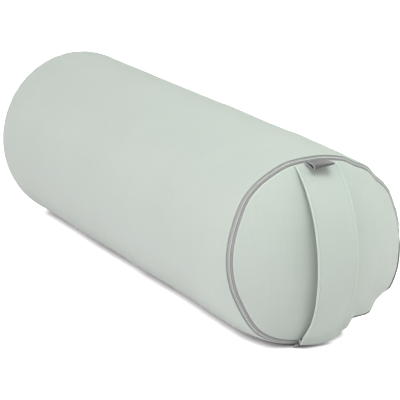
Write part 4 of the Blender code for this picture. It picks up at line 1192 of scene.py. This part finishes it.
class OBJECT_OT_bolster_strap(bpy.types.Operator):
    """Makes the carry strap, of doubled cloth, and the stitching along its folded edges"""

    bl_idname = "bolster.strap"
    bl_label = "Carry strap"

    def execute(self, context):
        settings = context.scene.bolster_cover
        # The strap's cloth is drawn paler along both edges, outside the stitching: a painted highlight
        pale = gained(settings.colour, STRAP_EDGE_HIGHLIGHT_GAIN)
        cotton = woven_material(
            "strap cotton canvas, painted edge highlight", settings.colour, settings.thread,
            border=(pale, STRAP_HALF_WIDTH - settings.groove_inset + HIGHLIGHT_PAST_GROOVE),
        )
        across, height = strap_section(settings.groove_inset).T
        foot = strap_foot(across, height)
        share = np.sin(np.linspace(math.asin(STRAP_FOOT_JOIN), math.pi / 2, STRAP_ROWS))
        thinner = smooth_step((share - STRAP_TOP_THINNER_START) / STRAP_TOP_THINNER_RAMP)
        face = strap_points(across[:, None], share, height[:, None] * (1 - STRAP_TOP_THINNER * thinner))
        points = follow_seam(np.concatenate([foot, face], axis=1))
        steps = np.linalg.norm(np.diff(points[0], axis=0), axis=1)
        length = np.concatenate([[0.0], np.cumsum(steps)])
        strap = strip_piece("carry_strap_cloth", points, cotton, paired(across[:, None], length))
        dress(strap, "bolster", "cover", "carry_strap")
        thread = speckled_material("sewing thread", settings.colour, 0.6, scale=1400.0, variation=0.1)
        stitches = self.stitches(settings.groove_inset, settings.stitch, thread)
        dress(stitches, "bolster", "cover")
        return {"FINISHED"}

    def stitches(self, inset, spacing, finish):
        """Stitches in the grooves of both faces. Each is a rod that rises as 1 - u^2, from STITCH_RISE under
        its groove's bottom at its ends to as much above it, and whose ends are thinner."""
        share = np.linspace(STRAP_FOOT_JOIN, STITCH_LAST, 400)
        line = strap_points(0.0, share, STRAP_THICK)
        length = np.concatenate([[0.0], np.cumsum(np.linalg.norm(np.diff(line, axis=0), axis=1))])
        starts = np.arange(spacing, length[-1] - spacing, spacing)
        u = np.linspace(-1.0, 1.0, 7)
        distance = starts[:, None] + spacing * (0.5 + STITCH_HALF_SHARE * u)
        place = np.interp(distance, length, share)[..., None]
        angle = full_turn(WIRE_SIDES)
        radius = STITCH_RADIUS * np.sqrt(np.maximum(1 - u**6, 0.12))[:, None]
        rise = STITCH_RISE * (2 * (1 - u**2)[:, None] - 1)
        rods = []
        for edge in (-1.0, 1.0):
            across = edge * (STRAP_HALF_WIDTH - inset) + radius * np.cos(angle)
            for surface, outside in ((STRAP_THICK - GROOVE_DEPTH, 1.0), (GROOVE_DEPTH, -1.0)):
                height = surface + outside * rise + radius * np.sin(angle)
                rods.append(follow_seam(strap_points(across, place, height)))
        return rod_group("carry_strap_stitches", np.concatenate(rods), finish)


class OBJECT_OT_bolster_label(bpy.types.Operator):
    """Makes the folded ribbon in the top of the seam"""

    bl_idname = "bolster.label"
    bl_label = "Label"

    def execute(self, context):
        settings = context.scene.bolster_label
        ribbon = woven_material(
            "label ribbon", settings.colour, RIBBON_THREAD, variation=0.1, depth=0.00005, sheen=0.3,
            roughness=0.5, border=(settings.edge_colour, LABEL_WIDTH / 2 - LABEL_SELVEDGE),
        )
        across = CLOTH_EDGE + STRAP_ROOT_GAP
        height = STRAP_THICK + 2 * GAP
        root_radius = SEAM_RADIUS - across * RIM_SLOPE + height * RIM_LEVEL
        root_radius += float(seam_broad(LABEL_ANGLE))
        root_y = FRONT_Y - across * RIM_LEVEL - height * RIM_SLOPE
        side = np.linspace(-1.0, 1.0, LABEL_STATIONS)
        loop = settings.loop * (1 + side * settings.flare)
        reach, stand, splay = self.fold(settings.reach - side * settings.skew, loop, settings.splay)
        droop = settings.droop + side * settings.twist
        forward = reach * np.cos(droop) + stand * np.sin(droop)
        radius = root_radius + stand * np.cos(droop) - reach * np.sin(droop)
        t = LABEL_ANGLE + (side * LABEL_WIDTH / 2 + splay) / root_radius
        points = round_points(t, radius, root_y - forward)
        label = strip_piece("label_ribbon", points, ribbon, paired(side * LABEL_WIDTH / 2, reach))
        dress(label, "label", "label", "seam_label")
        return {"FINISHED"}

    def fold(self, reach, loop, splay):
        """The ribbon's outline for each reach and loop, as arrays (reach, stand, sideways): out along the
        lower ply, round the fold and back along the upper one, then the same way back inside. Its plies meet
        at the root, part as 3 u^2 - 2 u^3 and end in a half round, and the lower one starts to the side."""
        centre = LABEL_CLOTH + loop / 2
        tip = reach - centre
        root = LABEL_CLOTH + GAP / 2
        arc = np.radians(np.linspace(-90.0, 90.0, LABEL_FOLD_STEPS))
        u = np.linspace(0.0, 1.0, LABEL_PLY_STEPS + 1)[:-1]
        out, up, sideways = [], [], []
        share, turn = u[:, None], arc[:, None]
        beside = splay * np.concatenate([1.0 - u / 2, np.full(len(arc), 0.5), (u / 2)[::-1]])[:, None]
        for radius, root_half, step in ((centre, root, 1), (loop / 2, GAP / 2, -1)):
            middle = root + (centre - root) * share
            half = root_half + (radius - root_half) * smooth_step(share)
            rise = np.concatenate([middle - half, centre + radius * np.sin(turn), (middle + half)[::-1]])
            run = np.concatenate([tip * share, tip + radius * np.cos(turn), tip * share[::-1]])
            out.append(run[::step])
            up.append(rise[::step])
            sideways.append(beside[::step])
        return np.concatenate(out), np.concatenate(up), np.concatenate(sideways)


def rim_bump(along):
    """1 under the zip's slider, and 0 past the end of its tape."""
    return smooth_step(2.0 - along / TAPE_WIDTH)


def inner_depth(along):
    """How deep the liner lies along the tube."""
    end = np.minimum(along, TUBE_LENGTH - along)
    deep = rim_bump(end) * (along * 2 < TUBE_LENGTH)
    return LINER_DEPTH + deep * (LINER_RIM_DEPTH - LINER_DEPTH)


def front_inner_depth(radius):
    """How deep the liner lies under the front panel."""
    rim = rim_bump((SEAM_RADIUS - np.abs(radius)) / RIM_SLOPE)
    return LINER_DEPTH + rim * (LINER_RIM_DEPTH - LINER_DEPTH)


def liner_flat(y, limit):
    """The furthest that the liner's right side reaches: limit along its zip, out of the way beyond it."""
    half = LINER_ZIP_LENGTH / 2 + LINER_FLAT_MARGIN
    outside = smooth_step((np.abs(y - MIDDLE[1]) - half) / LINER_FLAT_RAMP)
    return limit + outside * (2 * LINER_FLAT_DEPTH)


class OBJECT_OT_bolster_liner(bpy.types.Operator):
    """Makes the inner cushion's calico case, with the slot for its zip"""

    bl_idname = "bolster.liner"
    bl_label = "Liner"

    def execute(self, context):
        settings = context.scene.bolster_inside
        calico = woven_material(
            "liner calico", settings.liner_colour, COARSE_THREAD, variation=0.08, sheen=0.2
        )
        around = settings.around
        edge = np.full(around, LINER_EDGE)
        tube = tube_cloth(
            "liner_tube_cloth", self.place, LINER_CLOTH, (edge, edge), 0.0, around, LINER_TUBE_STEP, calico
        )
        self.cut_slot(tube)
        dress(tube, "bolster", "liner", "liner_tube")
        walls = (
            ("front", front_skin, front_inner_depth),
            ("rear", rear_skin, lambda radius: LINER_DEPTH + 0.0 * radius),
        )
        for word, skin, deep in walls:
            panel = panel_cloth(
                f"liner_{word}_cloth", skin, deep, LINER_CLOTH, edge, 0.0, around, LINER_PANEL_STEP, calico
            )
            dress(panel, "bolster", "liner", f"liner_{word}_panel")
        return {"FINISHED"}

    def place(self, t, along, depth):
        """The liner's tube: under the cover, deeper under the cover's zip and flat beside its own."""
        made = layer(tube_skin, t, along, inner_depth(along) + depth)
        made[..., 0] = np.minimum(made[..., 0], liner_flat(made[..., 1], LINER_FLAT_X - depth))
        return made

    def cut_slot(self, tube):
        """Cuts the liner's opening, as wide as the chain that fills it."""
        middle = np.array([LINER_FLAT_X, MIDDLE[1], WIDEST_HEIGHT])
        half = np.array([SLOT_REACH, LINER_ZIP_LENGTH / 2, CLOTH_EDGE])
        corners = np.array([(i, j, k) for i in (-1, 1) for j in (-1, 1) for k in (-1, 1)])
        faces = [(0, 1, 3, 2), (4, 6, 7, 5), (0, 4, 5, 1), (2, 3, 7, 6), (0, 2, 6, 4), (1, 5, 7, 3)]
        cutter = closed_piece("slot", middle + corners * half, faces, tube.data.materials[0])
        cut = tube.modifiers.new("slot", "BOOLEAN")
        cut.operation = "DIFFERENCE"
        cut.solver = "EXACT"
        cut.object = cutter
        seen = tube.evaluated_get(bpy.context.evaluated_depsgraph_get())
        whole = tube.data
        tube.data = bpy.data.meshes.new_from_object(seen)
        tube.modifiers.clear()
        bpy.data.meshes.remove(whole)
        bpy.data.objects.remove(cutter)


class OBJECT_OT_bolster_filling(bpy.types.Operator):
    """Makes the husks that fill the liner, as one body with a grainy surface"""

    bl_idname = "bolster.filling"
    bl_label = "Filling"

    def execute(self, context):
        settings = context.scene.bolster_inside
        t = full_turn(settings.around)
        along = np.linspace(RIM_FLAT, TUBE_LENGTH - RIM_FLAT, FILLING_TUBE_ROWS)[:, None]
        radii = np.linspace(FILLING_RADIUS - RIM_FLAT, POLE_RADIUS, FILLING_PANEL_ROWS)[:, None]
        clear = LINER_FLAT_X + LINER_CLOTH + BOTTOM_PLATE_BASE + COVER_CLOTH - 2 * GAP - 2 * LINER_CLOTH
        parts = [layer(front_skin, t, radii, FILLING_STEP + front_inner_depth(radii))[::-1]]
        tube = layer(tube_skin, t, along, FILLING_STEP + inner_depth(along))
        tube[..., 0] = np.minimum(tube[..., 0], liner_flat(tube[..., 1], clear))
        parts += [tube, layer(rear_skin, t, radii, FILLING_STEP + LINER_DEPTH)]
        points = np.concatenate(parts)
        grain = np.random.default_rng(21).uniform(0.0, settings.husk, points.shape[:2])[..., None]
        inwards = MIDDLE - points
        inwards[..., 1] *= FILLING_ENDWAYS
        points = points + grain * inwards / np.linalg.norm(inwards, axis=-1, keepdims=True)
        poles = [points[0].mean(axis=0), points[-1].mean(axis=0)]
        husks = husk_material("grain husks", settings.husk_colour)
        body = grid_piece("husk_filling_body", points, husks, poles=poles)
        dress(body, "bolster", "filling", "husk_filling")
        return {"FINISHED"}


class OBJECT_OT_bolster_stage(bpy.types.Operator):
    """Makes the floor, the lights and the camera"""

    bl_idname = "bolster.stage"
    bl_label = "Stage"

    def execute(self, context):
        settings = context.scene.bolster_stage
        self.make_floor(settings)
        self.make_world(context, settings)
        for name, power, place, size, colour in (
            ("key light", settings.key, (0.0, -1.1, 1.7), 1.2, (0.94, 1.0, 0.945)),
            ("left light", settings.left, (-2.4, -0.25, 0.9), 1.6, (1.0, 0.93, 1.0)),
            ("right light", settings.right, (1.9, -1.2, 1.6), 1.6, (1.0, 0.95, 0.99)),
            ("rear light", settings.rear, (0.9, 2.6, 0.55), 1.4, (1.0, 1.0, 1.0)),
        ):
            lamp = bpy.data.lights.new(name, "AREA")
            lamp.shape = "DISK"
            lamp.size = size
            lamp.energy = power
            lamp.color = colour
            holder = placed(name, lamp)
            holder.location = place
            aim = Vector((0.0, -0.05, 0.1)) - holder.location
            holder.rotation_euler = aim.to_track_quat("-Z", "Y").to_euler()
        self.make_camera(context)
        context.scene.view_settings.view_transform = "Standard"
        return {"FINISHED"}

    def make_floor(self, settings):
        """A wide pale floor, which the camera sees as white paper but for the dark beside what stands on
        it."""
        made, nodes, shader = new_material("studio floor", 0.9)
        shader.inputs["Base Color"].default_value = (*settings.floor_colour, 1.0)
        near = new_node(nodes, "ShaderNodeAmbientOcclusion", {"Distance": settings.contact}, samples=16)
        open_floor = map_range(nodes, near.outputs["AO"], 0.0, 1.0, start=0.15, end=0.85)
        lit = math_node(nodes, "MULTIPLY", open_floor, settings.glow)
        strength = math_node(nodes, "MULTIPLY", lit, self.seen_rays(nodes))
        glow = new_node(nodes, "ShaderNodeEmission", {"Strength": strength})
        both = new_node(nodes, "ShaderNodeAddShader", {0: shader.outputs[0], 1: glow.outputs[0]})
        feed(nodes["Material Output"].inputs["Surface"], both.outputs[0])
        half, low = 6.0, -0.0002
        corners = [(-half, -half, low), (half, -half, low), (half, half, low), (-half, half, low)]
        mesh = bpy.data.meshes.new("floor")
        mesh.from_pydata(corners, [], [(0, 1, 2, 3)])
        mesh.materials.append(made)
        floor = placed("floor", mesh)

    def seen_rays(self, nodes):
        """1 for a ray that the camera, a reflection or something clear sees, else 0."""
        rays = nodes.new("ShaderNodeLightPath").outputs
        seen = math_node(nodes, "MAXIMUM", rays["Is Camera Ray"], rays["Is Glossy Ray"])
        return math_node(nodes, "MAXIMUM", seen, rays["Is Transmission Ray"])

    def make_world(self, context, settings):
        """An even sky, which the camera and reflections see as plain white."""
        world = bpy.data.worlds.new("studio")
        context.scene.world = world
        world.use_nodes = True
        nodes = world.node_tree.nodes
        sky = nodes["Background"]
        sky.inputs["Color"].default_value = (1.0, 1.0, 0.98, 1.0)
        sky.inputs["Strength"].default_value = settings.sky
        white = new_node(nodes, "ShaderNodeBackground", {"Color": (1.0, 1.0, 1.0, 1.0)})
        parts = {0: self.seen_rays(nodes), 1: sky.outputs[0], 2: white.outputs[0]}
        shown = new_node(nodes, "ShaderNodeMixShader", parts)
        feed(nodes["World Output"].inputs["Surface"], shown.outputs[0])

    def make_camera(self, context):
        """The camera at the photograph's angle: aimed from the left and above, then turned a little."""
        azimuth, elevation = math.radians(-25.0637), math.radians(13.5773)
        distance, focal_pixels, frame_pixels = 2.3169, 2007.4862, 400.0
        yaw, pitch = math.radians(0.5128), math.radians(-0.7412)
        target = Vector((0.0, 0.01365, 0.11))
        back = Vector((
            math.sin(azimuth) * math.cos(elevation),
            -math.cos(azimuth) * math.cos(elevation),
            math.sin(elevation),
        ))
        right = Vector((math.cos(azimuth), math.sin(azimuth), 0.0))
        up = back.cross(right)
        side = math.cos(yaw) * right + math.sin(yaw) * back
        ahead = math.sin(yaw) * right - math.cos(yaw) * back
        top = math.cos(pitch) * up - math.sin(pitch) * ahead
        ahead = math.sin(pitch) * up + math.cos(pitch) * ahead
        lens = bpy.data.cameras.new("camera")
        lens.sensor_width = 36.0
        lens.lens = lens.sensor_width * focal_pixels / frame_pixels
        camera = placed("camera", lens)
        camera.matrix_world = Matrix.Translation(target + back * distance) @ Matrix(
            (side, top, -ahead)
        ).transposed().to_4x4()
        context.scene.camera = camera


class VIEW3D_PT_bolster(bpy.types.Panel):
    """The bolster's pieces and their settings"""

    bl_label = "Bolster"
    bl_idname = "VIEW3D_PT_bolster"
    bl_space_type = "VIEW_3D"
    bl_region_type = "UI"
    bl_category = "Bolster"

    def draw(self, context):
        for group in SETTINGS:
            box = self.layout.box()
            box.label(text=group.__doc__.rstrip("."))
            values = getattr(context.scene, SETTINGS[group])
            for word in group.__annotations__:
                box.prop(values, word)
        for operator in OPERATORS:
            self.layout.operator(operator.bl_idname, text=operator.bl_label)


SETTINGS = {
    BolsterCoverSettings: "bolster_cover",
    BolsterZipSettings: "bolster_zip",
    BolsterLabelSettings: "bolster_label",
    BolsterInsideSettings: "bolster_inside",
    BolsterStageSettings: "bolster_stage",
}
OPERATORS = (
    OBJECT_OT_bolster_cover,
    OBJECT_OT_bolster_zip,
    OBJECT_OT_bolster_strap,
    OBJECT_OT_bolster_label,
    OBJECT_OT_bolster_liner,
    OBJECT_OT_bolster_filling,
    OBJECT_OT_bolster_stage,
)


def register():
    """Adds the bolster's classes and its settings."""
    for made in (*SETTINGS, *OPERATORS, VIEW3D_PT_bolster):
        bpy.utils.register_class(made)
    for group, word in SETTINGS.items():
        setattr(bpy.types.Scene, word, PointerProperty(type=group))


def unregister():
    """Takes the bolster's settings and its classes away again."""
    for word in SETTINGS.values():
        delattr(bpy.types.Scene, word)
    for made in (VIEW3D_PT_bolster, *reversed(OPERATORS), *reversed(SETTINGS)):
        bpy.utils.unregister_class(made)


def main():
    """Makes the whole bolster and its stage."""
    register()
    bpy.ops.bolster.cover()
    bpy.ops.bolster.zip()
    bpy.ops.bolster.strap()
    bpy.ops.bolster.label()
    bpy.ops.bolster.liner()
    bpy.ops.bolster.filling()
    bpy.ops.bolster.stage()


if __name__ == "__main__":
    main()
